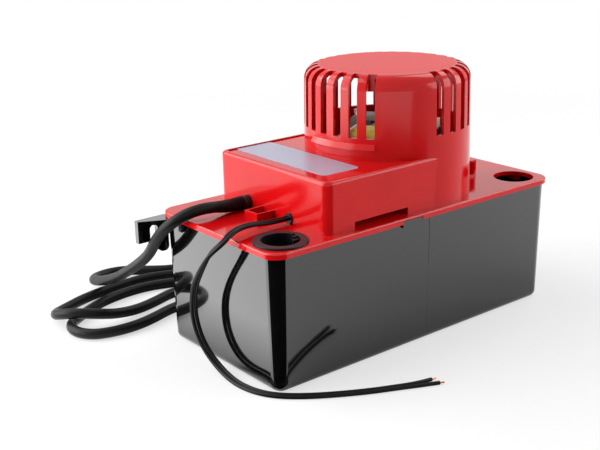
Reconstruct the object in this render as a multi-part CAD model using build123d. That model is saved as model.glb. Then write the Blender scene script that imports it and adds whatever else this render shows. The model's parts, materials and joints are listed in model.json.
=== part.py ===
from build123d import *
from math import atan, atan2, cos, degrees, hypot, pi, radians, sin, sqrt, tan
import os

# Condensate pump. Origin: centre of the tank's base, on the floor.
# +X runs along the tank towards the open inlet, -Y is the long front side. Millimetres.

# ---------------------------------------------------------------- driving dimensions
# deck (tank cover)
DECK_LENGTH = 254.0
DECK_WIDTH = 127.0
DECK_TOP = 92.5
DECK_THICKNESS = 3.0
DECK_CORNER_RADIUS = 11.0
LIP_THICKNESS = 1.8
LIP_DROP = 0.8
LOCATING_RIB_DEPTH = 4.0
LOCATING_RIB_THICKNESS = 2.0

# tank
RIM_GAP = 0.2
TANK_WALL = 2.2
TANK_FLOOR = 3.0
TANK_DRAFT = 1.6
TANK_FOOT_RADIUS = 5.0
RIB_CLEARANCE = 0.3

# hanger ears at the back corners
EAR_THICKNESS = 4.0
EAR_REACH = 19.0
EAR_TOP = 88.4
EAR_SLOT_WIDTH = 6.0
EAR_SLOT_TOP = 84.0
EAR_OUTER_LEG = 9.0
EAR_OUTER_LEG_BOTTOM = 73.0
EAR_INNER_LEG_BOTTOM = 64.0
EAR_GUSSET_THICKNESS = 3.0
EAR_GUSSET_DEPTH = 12.5

# snap between tank and deck
SNAP_X = -13.0
SNAP_LENGTH = 18.0
SNAP_HEIGHT = 2.3
SNAP_GAP = 0.4

# inlets
INLET_FROM_END = 20.0
INLET_FROM_SIDE = 18.9
INLET_RIB_GAP = 2.5
INLET_RADIUS = 14.3
GROMMET_FLANGE_RADIUS = 17.2
GROMMET_FLANGE_HEIGHT = 1.4
GROMMET_BORE_RADIUS = 12.2
GROMMET_DEPTH = 6.0
GROMMET_FIT = 0.05
GROMMET_LIP_COUNT = 3
GROMMET_LIP_PITCH = 3.2
GROMMET_LIP_REACH = 4.6

# motor cover: a box for the switches that runs into a vented dome over the motor
COVER_WALL = 2.5
BOX_FROM_END = 46.5
BOX_FROM_SIDE = 6.3
BOX_TOP = 126.4
BOX_CORNER_RADIUS = 6.0
BOX_TOP_RADIUS = 2.4
BOX_PANEL_RECESS = 0.8
BOX_BEAD_WIDTH = 3.6
DOME_X = 22.8
DOME_FROM_SIDE = 5.3
DOME_TAPER = 1.3
DOME_TOP = 180.6
DOME_SHOULDER = 9.5
DOME_ROOF = 3.0
VENT_PITCH = 12.0
VENT_WIDTH = 6.0
VENT_BOTTOM = 140.0
VENT_BLANKS = (228, 240, 252)
LEDGE_FROM = 168.0
LEDGE_TO = 219.0
LEDGE_TOP = 137.6
LEDGE_EDGE = 133.0
LEDGE_REACH = 2.4
WINDOW_FROM = -58.0
WINDOW_TO = -12.0
WINDOW_HEIGHT = 4.6
COVER_BOSS_RADIUS = 5.0
COVER_BOSS_HEIGHT = 22.0
COVER_SCREW_RADIUS = 1.75
COVER_SCREW_LENGTH = 14.0
COVER_SCREW_HEAD_RADIUS = 3.6
COVER_SCREW_HEAD = 2.4
DOME_BOSS_ANGLE = 42.0
ROOF_BOSS_ANGLE = 214.0
ROOF_BOSS_RADIUS = 4.0
ROOF_BOSS_DEPTH = 8.3

# blank plate on the box
LABEL_LENGTH = 93.5
LABEL_WIDTH = 29.5
LABEL_THICKNESS = 0.3
LABEL_FROM_BOX_END = 26.3
LABEL_SIDE_GAP = 0.85

# cord entries in the end wall of the box
CORD_DIAMETER = 7.6
CORD_Y = 24.8
CORD_Z = 97.2
CORD_BUSH_WALL = 0.9
CORD_BUSH_PROUD = 5.0
LEAD_DIAMETER = 2.6
LEAD_Y = -19.6
LEAD_Z = 96.0
LEAD_BUSH_WALL = 0.9
LEAD_BUSH_PROUD = 1.0
BUSH_INSIDE = 1.5
TROUGH_Y = 2.8
TROUGH_WIDTH = 13.5
TROUGH_LENGTH = 14.0
TROUGH_HEIGHT = 5.0
TROUGH_WALL = 1.4

# motor
MOTOR_TURN = 30.0
SHAFT_RADIUS = 3.0
SHAFT_BOTTOM = 12.5
SHAFT_TOP = 148.5
STACK_BOTTOM = 115.0
STACK_HEIGHT = 20.0
STACK_HALF_WIDTH = 25.0
STACK_POLE_FRONT = 18.0
STACK_POLE_BACK = 17.0
CORE_LEG_WIDTH = 10.0
CORE_LEG_BACK = 36.0
ROTOR_RADIUS = 12.0
AIR_GAP = 0.4
ROTOR_OVERHANG = 1.5
COIL_BUILD = 6.5
COIL_LENGTH = 25.0
COIL_CORNER = 5.0
COIL_GAP = 0.25
BOBBIN_FLANGE = 1.5
SHADING_RING_WIRE = 2.0
SHADING_RING_U = 9.5
SHADING_RING_V = 9.3
RING_SLOT_GAP = 0.1
BRACKET_THICKNESS = 3.0
BRACKET_WIDTH = 15.0
BRACKET_STANDOFF = 6.0
BEARING_HOUSING_RADIUS = 8.0
BEARING_HOUSING_HEIGHT = 9.0
BUSH_RADIUS = 5.0
BUSH_HEIGHT = 8.0
SHAFT_CLEARANCE = 0.05
FIT_GAP = 0.02
MOTOR_SCREW_V = 20.0
MOTOR_SCREW_RADIUS = 2.0
MOTOR_SCREW_HEAD_RADIUS = 3.8
MOTOR_SCREW_HEAD = 2.8
MOTOR_POST_RADIUS = 4.2
FAN_RADIUS = 14.8
FAN_HUB_RADIUS = 5.5
FAN_HEIGHT = 7.0
FAN_BLADES = 7
FAN_BLADE_THICKNESS = 1.2
FAN_FLOOR_GAP = 3.0
TERMINAL_U = 4.0
TERMINAL_BOTTOM = 115.0
TERMINAL_LENGTH = 12.0
TERMINAL_DEPTH = 10.0
TERMINAL_HEIGHT = 20.0
TERMINAL_CAP_HEIGHT = 6.0
TERMINAL_CAP_INSET = 0.8

# pump below the deck
SHAFT_HOLE_RADIUS = 5.0
COLUMN_RADIUS = 9.5
COLUMN_BORE = 6.8
COLUMN_FLANGE_RADIUS = 20.0
COLUMN_FLANGE = 3.0
COLUMN_SLOT_WIDTH = 6.0
COLUMN_SLOT_HEIGHT = 10.0
COLUMN_SLOT_Z = 74.0
LID_HOLE_GAP = 0.6
COLUMN_SCREW_RING = 15.5
COLUMN_SCREW_ANGLES = (30, 150, 270)
COLUMN_SCREW_LENGTH = 5.5
COLUMN_SCREW_HEAD_RADIUS = 2.7
COLUMN_SCREW_HEAD = 1.8
VOLUTE_RADIUS = 26.0
VOLUTE_WALL = 2.4
VOLUTE_BOTTOM = 9.0
VOLUTE_TOP = 23.0
VOLUTE_LID = 3.0
VOLUTE_FLOOR = 2.2
EYE_RADIUS = 6.5
LUG_ANGLES = (60, 180, 300)
LUG_RADIUS = 4.0
LUG_RING = 29.0
LUG_BOTTOM = 11.0
VOLUTE_SCREW_LENGTH = 14.0
VOLUTE_SCREW_RADIUS = 1.5
VOLUTE_SCREW_HEAD_RADIUS = 2.8
VOLUTE_SCREW_HEAD = 2.0
IMPELLER_RADIUS = 18.0
IMPELLER_VANES = 6
IMPELLER_DISC = 1.8
IMPELLER_VANE_HEIGHT = 5.0
IMPELLER_HUB_RADIUS = 5.0
IMPELLER_HUB_TOP = 21.0
IMPELLER_VANE_THICKNESS = 1.6
STRAINER_RADIUS = 20.0
STRAINER_HEIGHT = 5.5
STRAINER_SLOT_HEIGHT = 3.6
STRAINER_WALL = 1.6
STRAINER_SLOTS = 16
STRAINER_SLOT_WIDTH = 2.4

# discharge
VALVE_FROM_END = 23.0
VALVE_FROM_SIDE = 21.5
SPOUT_OFFSET = 18.0
SPOUT_RADIUS = 4.6
SPOUT_BORE = 3.2
SPOUT_LENGTH = 34.0
SPOUT_Z = 16.0
HOSE_WALL = 1.7
HOSE_FIT = 0.05
HOSE_BEND_RADIUS = 20.0
HOSE_OVERLAP = 8.0
HOSE_TOP = 75.5
VALVE_STEM_BOTTOM = 67.5
VALVE_THREAD_RADIUS = 8.0
VALVE_HOLE_GAP = 0.2
VALVE_BODY_RADIUS = 11.0
VALVE_CAVITY_RADIUS = 7.2
VALVE_BODY_HEIGHT = 19.0
GASKET_THICKNESS = 1.5
NUT_ACROSS = 22.0
NUT_HEIGHT = 6.0
BALL_RADIUS = 5.2
BALL_LIFT = 4.0
SEAT_RADIUS = 3.8
SEAT_THICKNESS = 3.0
SEAT_GAP = 0.2
CAP_HEIGHT = 7.0
CAP_PLUG_DEPTH = 2.0
BARB_BORE = 2.8
BARB_ROOT = 4.3
BARB_CREST = 5.0
BARB_PITCH = 5.0
BARB_COUNT = 4
BARB_TAIL = 4.0

# float and switches
ROD_FROM_BOX_END = 28.5
ROD_WIDTH = 8.0
ROD_TOP = 103.5
ROD_TIP_THICKNESS = 4.0
FLOAT_TRAVEL = 18.0
BUTTON_TRAVEL = 1.5
BUTTON_Z = 102.0
BUTTON_RADIUS = 1.6
BUTTON_LENGTH = 7.0
BUTTON_PROUD = 3.2
BUTTON_GAP = 0.3
BUTTON_FIT = 0.05
BUTTON_BACK_GAP = 1.0
FLOAT_LENGTH = 58.0
FLOAT_WIDTH = 76.0
FLOAT_HEIGHT = 30.0
FLOAT_BOTTOM = 12.0
FLOAT_CORNER = 8.0
FLOAT_EDGE = 2.5
ROD_FOOT_GAP = 0.3
ROD_FLANGE = 14.0
ROD_GUIDE_GAP = 0.6
GUIDE_WALL = 2.0
GUIDE_DEPTH = 9.0
ROD_COLLAR = 3.0
SWITCH_LENGTH = 28.0
SWITCH_DEPTH = 16.0
SWITCH_HEIGHT = 10.0
SWITCH_HOLE_PITCH = 22.0
SWITCH_HOLE_RADIUS = 1.55
SWITCH_SCREW_RADIUS = 1.5
SWITCH_SCREW_HEAD_RADIUS = 2.7
SWITCH_SCREW_HEAD = 1.8
SWITCH_SCREW_BITE = 3.0
TERMINAL_TAB_LENGTH = 7.0
TERMINAL_TAB_WIDTH = 4.8
TERMINAL_TAB_THICKNESS = 0.8
TERMINAL_TAB_PITCH = 9.0
BRACKET_PLATE = 4.6
BRACKET_MARGIN = 3.0
BRACKET_SCREW_REACH = 11.0
BRACKET_SCREW_LENGTH = 7.4

# cord clip on the deck
CLIP_FROM_DOME = 4.5
CLIP_Y = -22.0
CLIP_WIDTH = 5.0
CLIP_LENGTH = 7.0
CLIP_HEIGHT = 12.0
CLIP_THICKNESS = 1.6

# plug on the end of the supply cord
PLUG_LENGTH = 36.0
PLUG_WIDTH = 26.0
PLUG_HEIGHT = 22.0
PLUG_RELIEF_LENGTH = 14.0
PLUG_RELIEF_RADIUS = 5.6
BLADE_LENGTH = 17.0
BLADE_WIDTH = 6.3
BLADE_THICKNESS = 1.5
BLADE_SPACING = 12.7
GROUND_PIN_RADIUS = 2.4
GROUND_PIN_LENGTH = 20.0
GROUND_PIN_OFFSET = 11.9
BARE_TIP_RADIUS = 0.6
BARE_TIP_LENGTH = 3.2

# ---------------------------------------------------------------- worked-out values
INLET_X = DECK_LENGTH / 2 - INLET_FROM_END
INLET_Y = INLET_FROM_SIDE - DECK_WIDTH / 2
BOX_END_X = BOX_FROM_END - DECK_LENGTH / 2
BOX_HALF_WIDTH = DECK_WIDTH / 2 - BOX_FROM_SIDE
DOME_FOOT_RADIUS = DECK_WIDTH / 2 - DOME_FROM_SIDE
DOME_SHOULDER_RADIUS = DOME_FOOT_RADIUS - DOME_TAPER
DOME_DISC_RADIUS = DOME_SHOULDER_RADIUS - DOME_SHOULDER
LABEL_X = BOX_END_X + LABEL_FROM_BOX_END
LABEL_Y = BOX_HALF_WIDTH - BOX_BEAD_WIDTH - LABEL_SIDE_GAP - LABEL_LENGTH / 2
VALVE_X = DECK_LENGTH / 2 - VALVE_FROM_END
VALVE_Y = DECK_WIDTH / 2 - VALVE_FROM_SIDE
ROD_X = BOX_END_X + ROD_FROM_BOX_END
CLIP_X = DOME_X + DOME_FOOT_RADIUS + CLIP_FROM_DOME
DECK_UNDERSIDE = DECK_TOP - DECK_THICKNESS
LIP_BOTTOM = DECK_UNDERSIDE - LIP_DROP
RIM_LENGTH = DECK_LENGTH - 2 * (LIP_THICKNESS + RIM_GAP)
RIM_WIDTH = DECK_WIDTH - 2 * (LIP_THICKNESS + RIM_GAP)
RIM_CORNER = DECK_CORNER_RADIUS - LIP_THICKNESS - RIM_GAP
TANK_TAPER = degrees(atan(TANK_DRAFT / DECK_UNDERSIDE))
DOME_DRAFT = (DOME_FOOT_RADIUS - DOME_SHOULDER_RADIUS) / (DOME_TOP - DECK_TOP)
BUTTON_SLOPE = BUTTON_TRAVEL / FLOAT_TRAVEL
STACK_TOP = STACK_BOTTOM + STACK_HEIGHT
STACK_MID = STACK_BOTTOM + STACK_HEIGHT / 2
CORE_LEG_FRONT = CORE_LEG_BACK - CORE_LEG_WIDTH
VALVE_ANGLE = degrees(atan2(VALVE_Y, VALVE_X - DOME_X))
VALVE_DISTANCE = hypot(VALVE_X - DOME_X, VALVE_Y)
SPOUT_ANGLE = VALVE_ANGLE + degrees(atan(SPOUT_OFFSET / sqrt(VALVE_DISTANCE**2 - SPOUT_OFFSET**2)))

os.makedirs("parts", exist_ok=True)


# ---------------------------------------------------------------- helpers
def save(shape, name):
    """Write one node, named after its file."""
    shape.label = name
    export_step(shape, f"parts/{name}.step")


def rod(radius, bottom, top, x=0.0, y=0.0):
    """Upright cylinder between two heights."""
    height = top - bottom
    return Pos(x, y, bottom + height / 2) * Cylinder(radius, height)


def tube(outer, inner, bottom, top, x=0.0, y=0.0):
    """Upright tube between two heights."""
    return rod(outer, bottom, top, x, y) - rod(inner, bottom, top, x, y)


def block(x_from, x_to, y_from, y_to, z_from, z_to):
    """Box between two corners."""
    centre = ((x_from + x_to) / 2, (y_from + y_to) / 2, (z_from + z_to) / 2)
    return Pos(*centre) * Box(x_to - x_from, y_to - y_from, z_to - z_from)


def rounded_block(length, width, radius, bottom, top, x=0.0, y=0.0):
    """Upright prism with rounded corners, centred on a point."""
    return extrude(Pos(x, y, bottom) * RectangleRounded(length, width, radius), top - bottom)


def hexagon(across, bottom, top, x=0.0, y=0.0):
    """Upright hexagonal prism, sized across its flats."""
    outline = RegularPolygon(across / 2, 6, major_radius=False)
    return extrude(Pos(x, y, bottom) * outline, top - bottom)


def about_dome(shape, angle=0.0):
    """Turn a shape modelled on the Z axis and carry it to the motor's axis."""
    return Pos(DOME_X, 0, 0) * Rot(0, 0, angle) * shape


def dome_radius(height):
    """Outside radius of the dome's drafted wall at a height."""
    return DOME_FOOT_RADIUS - DOME_DRAFT * (height - DECK_TOP)


def screw(radius, length, head_radius, head, x, y, seat, up):
    """Round-headed screw: its head rests on seat and its shank points up or down."""
    head_end = seat - head if up else seat + head
    tip = seat + length if up else seat - length
    shank = rod(radius, min(seat, tip), max(seat, tip), x, y)
    cap = rod(head_radius, min(seat, head_end), max(seat, head_end), x, y)
    slot_z = head_end + (0.5 if up else -0.5)
    slot = Pos(x, y, slot_z) * Box(head_radius * 3, head_radius * 0.3, 1.0)
    return shank + (cap - slot)


# ---------------------------------------------------------------- tank
def rim_outline(inset):
    """Outline of the tank's rim, moved inwards by inset."""
    return RectangleRounded(RIM_LENGTH - 2 * inset, RIM_WIDTH - 2 * inset, RIM_CORNER - inset)


def tapered_down(inset, bottom):
    """Drafted block that hangs from the rim plane down to a height."""
    sketch = Pos(0, 0, DECK_UNDERSIDE) * rim_outline(inset)
    return extrude(sketch, amount=DECK_UNDERSIDE - bottom, dir=(0, 0, -1), taper=TANK_TAPER)


def hanger_ear():
    """Ear at the back corner on the -X side, with a slot that is open at the bottom."""
    back = DECK_WIDTH / 2
    front = back - EAR_THICKNESS
    outer = -DECK_LENGTH / 2 - EAR_REACH
    slot_from = outer + EAR_OUTER_LEG
    slot_to = slot_from + EAR_SLOT_WIDTH
    root = -RIM_LENGTH / 2 + RIM_CORNER / 2
    leg_end = -RIM_LENGTH / 2 + TANK_WALL
    plate = block(outer, root, front, back, EAR_SLOT_TOP - EAR_SLOT_WIDTH / 2, EAR_TOP)
    outer_leg = block(outer, slot_from, front, back, EAR_OUTER_LEG_BOTTOM, EAR_TOP)
    inner_leg = block(slot_to, leg_end, front, back, EAR_INNER_LEG_BOTTOM, EAR_TOP)
    round_edges = inner_leg.edges().filter_by(Axis.Y).group_by(Axis.Z)[0]
    inner_leg = fillet(round_edges, (leg_end - slot_to) * 0.4)
    ear = plate + outer_leg + inner_leg
    slot_middle = (slot_from + slot_to) / 2
    slot = Pos(slot_middle, back - EAR_THICKNESS / 2, EAR_SLOT_TOP - EAR_SLOT_WIDTH / 2)
    ear -= slot * Rot(90, 0, 0) * Cylinder(EAR_SLOT_WIDTH / 2, EAR_THICKNESS * 2)
    gusset = Polyline(
        (outer, back),
        (outer, front),
        (root, front - EAR_GUSSET_DEPTH),
        (root, back),
        close=True,
    )
    gusset_bottom = EAR_TOP - EAR_GUSSET_THICKNESS
    return ear + extrude(Pos(0, 0, gusset_bottom) * make_face(gusset), EAR_GUSSET_THICKNESS)


def make_tank():
    """Open tank with a drafted wall, two hanger ears and a snap tongue on each long side."""
    outer = tapered_down(0, 0)
    outer = fillet(outer.edges().group_by(Axis.Z)[0], TANK_FOOT_RADIUS)
    ear = hanger_ear()
    outer = outer + ear + mirror(ear, Plane.YZ)
    for side in (-1, 1):
        root = side * (RIM_WIDTH / 2 - TANK_WALL / 2)
        tip = side * (DECK_WIDTH / 2 - SNAP_GAP)
        top = LIP_BOTTOM + SNAP_HEIGHT - SNAP_GAP
        half = SNAP_LENGTH / 2 - SNAP_GAP
        low, high = min(root, tip), max(root, tip)
        outer += block(SNAP_X - half, SNAP_X + half, low, high, LIP_BOTTOM - 2.5, DECK_UNDERSIDE)
        proud = side * (RIM_WIDTH / 2 + RIM_GAP + 0.2)
        low, high = min(proud, tip), max(proud, tip)
        outer += block(SNAP_X - half, SNAP_X + half, low, high, LIP_BOTTOM - 2.5, top)
    cavity = tapered_down(TANK_WALL, TANK_FLOOR)
    cavity = fillet(cavity.edges().group_by(Axis.Z)[0], TANK_FOOT_RADIUS - TANK_WALL)
    return outer - cavity


save(make_tank(), "tank")


# ---------------------------------------------------------------- deck
def cover_screw_spots():
    """Centres of the four screws that hold the motor cover."""
    inset = COVER_WALL + COVER_BOSS_RADIUS - 0.6
    spots = [(BOX_END_X + inset, side * (BOX_HALF_WIDTH - inset)) for side in (-1, 1)]
    reach = DOME_FOOT_RADIUS - COVER_WALL - COVER_BOSS_RADIUS + 1.6
    for side in (-1, 1):
        angle = radians(side * DOME_BOSS_ANGLE)
        spots.append((DOME_X + reach * cos(angle), reach * sin(angle)))
    return spots


def motor_screw_spots():
    """Centres of the two long motor screws."""
    turn = radians(MOTOR_TURN)
    return [(DOME_X - v * sin(turn), v * cos(turn)) for v in (-MOTOR_SCREW_V, MOTOR_SCREW_V)]


def rod_half_thickness(height):
    """Half thickness of the float rod across Y at a height, with the float down."""
    drop = min(max(ROD_TOP - height, 0), FLOAT_TRAVEL)
    return ROD_TIP_THICKNESS / 2 + drop * BUTTON_SLOPE


def make_deck():
    """Tank cover: plate, outer lip, locating rib, inlets, rod guide and motor posts."""
    outline = RectangleRounded(DECK_LENGTH, DECK_WIDTH, DECK_CORNER_RADIUS)
    plate = extrude(Pos(0, 0, LIP_BOTTOM) * outline, DECK_TOP - LIP_BOTTOM)
    plate = fillet(plate.edges().group_by(Axis.Z)[-1], 1.0)
    plate -= extrude(Pos(0, 0, LIP_BOTTOM) * rim_outline(-RIM_GAP), LIP_DROP)
    rib_outer = rim_outline(TANK_WALL + RIB_CLEARANCE)
    rib_inner = rim_outline(TANK_WALL + RIB_CLEARANCE + LOCATING_RIB_THICKNESS)
    rib_bottom = DECK_UNDERSIDE - LOCATING_RIB_DEPTH
    rib = extrude(Pos(0, 0, rib_bottom) * (rib_outer - rib_inner), LOCATING_RIB_DEPTH)
    for x in (-INLET_X, INLET_X):
        rib -= rod(INLET_RADIUS + INLET_RIB_GAP, rib_bottom, DECK_UNDERSIDE, x, INLET_Y)
    deck = plate + rib
    guide_length = ROD_WIDTH + 2 * (ROD_GUIDE_GAP + GUIDE_WALL)
    guide_width = 2 * (rod_half_thickness(0) + ROD_GUIDE_GAP + GUIDE_WALL)
    guide_bottom = DECK_UNDERSIDE - GUIDE_DEPTH
    half_l, half_w = guide_length / 2, guide_width / 2
    deck += block(ROD_X - half_l, ROD_X + half_l, -half_w, half_w, guide_bottom, DECK_UNDERSIDE)
    for x, y in motor_screw_spots():
        deck += rod(MOTOR_POST_RADIUS, DECK_TOP - 0.5, lower_bracket_bottom(), x, y)
    for x in (-INLET_X, INLET_X):
        deck -= rod(INLET_RADIUS, DECK_UNDERSIDE, DECK_TOP, x, INLET_Y)
    half_l, half_w = half_l - GUIDE_WALL, half_w - GUIDE_WALL
    deck -= block(ROD_X - half_l, ROD_X + half_l, -half_w, half_w, guide_bottom, DECK_TOP)
    deck -= rod(SHAFT_HOLE_RADIUS, DECK_UNDERSIDE, DECK_TOP, DOME_X)
    deck -= rod(VALVE_THREAD_RADIUS + VALVE_HOLE_GAP, DECK_UNDERSIDE, DECK_TOP, VALVE_X, VALVE_Y)
    for x, y in cover_screw_spots():
        deck -= rod(COVER_SCREW_RADIUS + FIT_GAP, DECK_UNDERSIDE, DECK_TOP, x, y)
    for angle in COLUMN_SCREW_ANGLES:
        hole = rod(VOLUTE_SCREW_RADIUS + FIT_GAP, DECK_UNDERSIDE, DECK_TOP, COLUMN_SCREW_RING)
        deck -= about_dome(hole, angle)
    for x in (ROD_X - BRACKET_SCREW_REACH, ROD_X + BRACKET_SCREW_REACH):
        deck -= rod(SWITCH_SCREW_RADIUS + FIT_GAP, DECK_UNDERSIDE, DECK_TOP, x, 0)
    for x, y in motor_screw_spots():
        deck -= rod(MOTOR_SCREW_RADIUS, DECK_TOP, lower_bracket_bottom(), x, y)
    for side in (-1, 1):
        edge = side * DECK_WIDTH / 2
        inner = side * (DECK_WIDTH / 2 - LIP_THICKNESS)
        low, high = min(edge, inner), max(edge, inner)
        half = SNAP_LENGTH / 2
        top = LIP_BOTTOM + SNAP_HEIGHT
        deck -= block(SNAP_X - half, SNAP_X + half, low, high, LIP_BOTTOM, top)
    return deck


def lower_bracket_bottom():
    """Underside of the lower bearing bracket's foot plate."""
    return STACK_BOTTOM - BRACKET_STANDOFF - BRACKET_THICKNESS


save(make_deck(), "deck")


# ---------------------------------------------------------------- inlet grommet
def make_grommet():
    """Rubber ring in the left inlet, with three stepped lips on its inner side."""
    flange_top = DECK_TOP + GROMMET_FLANGE_HEIGHT
    sleeve_bottom = DECK_UNDERSIDE - GROMMET_DEPTH
    flange = rod(GROMMET_FLANGE_RADIUS, DECK_TOP, flange_top)
    flange = fillet(flange.edges().group_by(Axis.Z)[-1], 0.6)
    ring = flange + rod(INLET_RADIUS - GROMMET_FIT, sleeve_bottom, DECK_TOP)
    ring -= rod(GROMMET_BORE_RADIUS, sleeve_bottom, flange_top)
    for step in range(GROMMET_LIP_COUNT):
        inner = GROMMET_BORE_RADIUS - GROMMET_LIP_REACH + step * 1.4
        top = flange_top - 1.0 + step * 0.9
        lip = tube(GROMMET_BORE_RADIUS + 0.4, inner, top - 3.2, top)
        y_from = -GROMMET_LIP_PITCH * 1.5 + step * GROMMET_LIP_PITCH
        lip &= block(0, GROMMET_FLANGE_RADIUS, y_from, y_from + GROMMET_LIP_PITCH - 0.5, top - 3.2, top)
        ring += lip
    return Pos(-INLET_X, INLET_Y, 0) * ring


save(make_grommet(), "inlet_grommet")


# ---------------------------------------------------------------- motor cover
def box_outline(inset):
    """Plan of the switch box, from its end wall to the dome's axis."""
    x_from = BOX_END_X + inset
    half = BOX_HALF_WIDTH - inset
    plan = Pos((x_from + DOME_X) / 2, 0, 0) * Rectangle(DOME_X - x_from, 2 * half)
    corners = plan.vertices().group_by(Axis.X)[0]
    return fillet(corners, max(BOX_CORNER_RADIUS - inset, 1.0))


def dome_profile(wall_inset, top):
    """Half section of the dome, moved inwards by wall_inset, with a rounded shoulder."""
    foot = DOME_FOOT_RADIUS - wall_inset
    at_top = DOME_FOOT_RADIUS - DOME_DRAFT * (DOME_TOP - DECK_TOP) - wall_inset
    disc = DOME_DISC_RADIUS - wall_inset * 0.3
    rise = at_top - disc
    shoulder_z = top - rise
    shoulder_r = foot - DOME_DRAFT * (shoulder_z - DECK_TOP)
    middle = (disc + rise * sin(radians(45)), shoulder_z + rise * cos(radians(45)))
    outline = [
        Line((0, DECK_TOP), (foot, DECK_TOP)),
        Line((foot, DECK_TOP), (shoulder_r, shoulder_z)),
        ThreePointArc((shoulder_r, shoulder_z), middle, (disc, top)),
        Line((disc, top), (0, top)),
        Line((0, top), (0, DECK_TOP)),
    ]
    return Plane.XZ * make_face(Curve() + outline)


def dome_body(wall_inset, top):
    """Solid of the dome's outside or inside."""
    return about_dome(revolve(dome_profile(wall_inset, top), Axis.Z))


def vent_cutters():
    """Radial slots that climb the wall and run over the shoulder to the roof disc."""
    cutters = []
    count = int(360 / VENT_PITCH)
    for index in range(count):
        angle = index * VENT_PITCH
        if angle in VENT_BLANKS:
            continue
        slot = block(
            DOME_DISC_RADIUS,
            DOME_FOOT_RADIUS + 5,
            -VENT_WIDTH / 2,
            VENT_WIDTH / 2,
            VENT_BOTTOM,
            DOME_TOP + 5,
        )
        cutters.append(about_dome(slot, angle))
    return cutters


def drip_ledge():
    """Flared ledge round the foot of the vents above the box."""
    wall = dome_radius(LEDGE_TOP)
    section = Polyline(
        (wall - 1.0, LEDGE_TOP + 0.4),
        (wall + LEDGE_REACH, LEDGE_EDGE),
        (wall - 1.0, LEDGE_EDGE - 1.2),
        close=True,
    )
    face = make_face(Plane.XZ * section)
    ring = revolve(face, Axis.Z, revolution_arc=LEDGE_TO - LEDGE_FROM)
    return about_dome(ring, LEDGE_FROM)


def make_cover():
    """One shell: switch box with a beaded top, vented dome, screw bosses and cord entries."""
    outside = extrude(Pos(0, 0, DECK_TOP) * box_outline(0), BOX_TOP - DECK_TOP)
    rim = outside.edges().group_by(Axis.Z)[-1].filter_by(lambda e: e.center().X < DOME_X - 1)
    outside = fillet(rim, BOX_TOP_RADIUS)
    panel = Pos(0, 0, BOX_TOP - BOX_PANEL_RECESS) * box_outline(BOX_BEAD_WIDTH)
    outside -= extrude(panel, BOX_PANEL_RECESS)
    inside = extrude(Pos(0, 0, DECK_TOP) * box_outline(COVER_WALL), box_ceiling() - DECK_TOP)
    shell = outside + dome_body(0, DOME_TOP) + drip_ledge()
    shell -= inside + dome_body(COVER_WALL, DOME_TOP - DOME_ROOF)
    for x, y in cover_screw_spots():
        shell += rod(COVER_BOSS_RADIUS, DECK_TOP, DECK_TOP + COVER_BOSS_HEIGHT, x, y)
        pilot_top = DECK_TOP + COVER_SCREW_LENGTH - DECK_THICKNESS + 2
        shell -= rod(COVER_SCREW_RADIUS + FIT_GAP, DECK_TOP, pilot_top, x, y)
    boss_reach = DOME_DISC_RADIUS - ROOF_BOSS_RADIUS + 1.0
    boss = rod(ROOF_BOSS_RADIUS, DOME_TOP - DOME_ROOF - ROOF_BOSS_DEPTH, DOME_TOP - 1, boss_reach)
    shell += about_dome(boss, ROOF_BOSS_ANGLE)
    for cutter in vent_cutters():
        shell -= cutter
    shell -= block(
        WINDOW_FROM,
        WINDOW_TO,
        -BOX_HALF_WIDTH - 1,
        -BOX_HALF_WIDTH + COVER_WALL + 0.5,
        DECK_TOP,
        DECK_TOP + WINDOW_HEIGHT,
    )
    return shell + cord_trough() - cord_holes()


def box_ceiling():
    """Inner height of the box's top panel."""
    return BOX_TOP - BOX_PANEL_RECESS - COVER_WALL


def cord_trough():
    """Open-topped pocket moulded on the end wall between the cord entries."""
    x_from = BOX_END_X - TROUGH_LENGTH
    y_from = TROUGH_Y - TROUGH_WIDTH / 2
    y_to = TROUGH_Y + TROUGH_WIDTH / 2
    top = DECK_TOP + TROUGH_HEIGHT
    trough = block(x_from, BOX_END_X + COVER_WALL / 2, y_from, y_to, DECK_TOP, top)
    pocket = block(
        x_from + TROUGH_WALL,
        BOX_END_X,
        y_from + TROUGH_WALL,
        y_to - TROUGH_WALL,
        DECK_TOP,
        top,
    )
    return trough - pocket


def cord_holes():
    """Hole for the supply cord's bush and open-bottomed notch for the safety lead's."""
    middle = BOX_END_X + COVER_WALL / 2
    cord_radius = CORD_DIAMETER / 2 + CORD_BUSH_WALL + FIT_GAP
    lead_radius = LEAD_DIAMETER + LEAD_BUSH_WALL + FIT_GAP
    through = 2 * COVER_WALL
    holes = Pos(middle, CORD_Y, CORD_Z) * Rot(0, 90, 0) * Cylinder(cord_radius, through)
    holes += Pos(middle, LEAD_Y, LEAD_Z) * Rot(0, 90, 0) * Cylinder(lead_radius, through)
    low, high = LEAD_Y - lead_radius, LEAD_Y + lead_radius
    x_from, x_to = BOX_END_X - COVER_WALL / 2, BOX_END_X + 1.5 * COVER_WALL
    return holes + block(x_from, x_to, low, high, DECK_TOP, LEAD_Z)


save(make_cover(), "motor_cover")


# ---------------------------------------------------------------- blank plate on the box
def make_label():
    """Plain plate on the recessed top of the box; nothing is printed on it."""
    plate = rounded_block(LABEL_WIDTH, LABEL_LENGTH, 2.0, 0, LABEL_THICKNESS)
    return Pos(LABEL_X, LABEL_Y, BOX_TOP - BOX_PANEL_RECESS) * plate


save(make_label(), "blank_plate")


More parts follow.
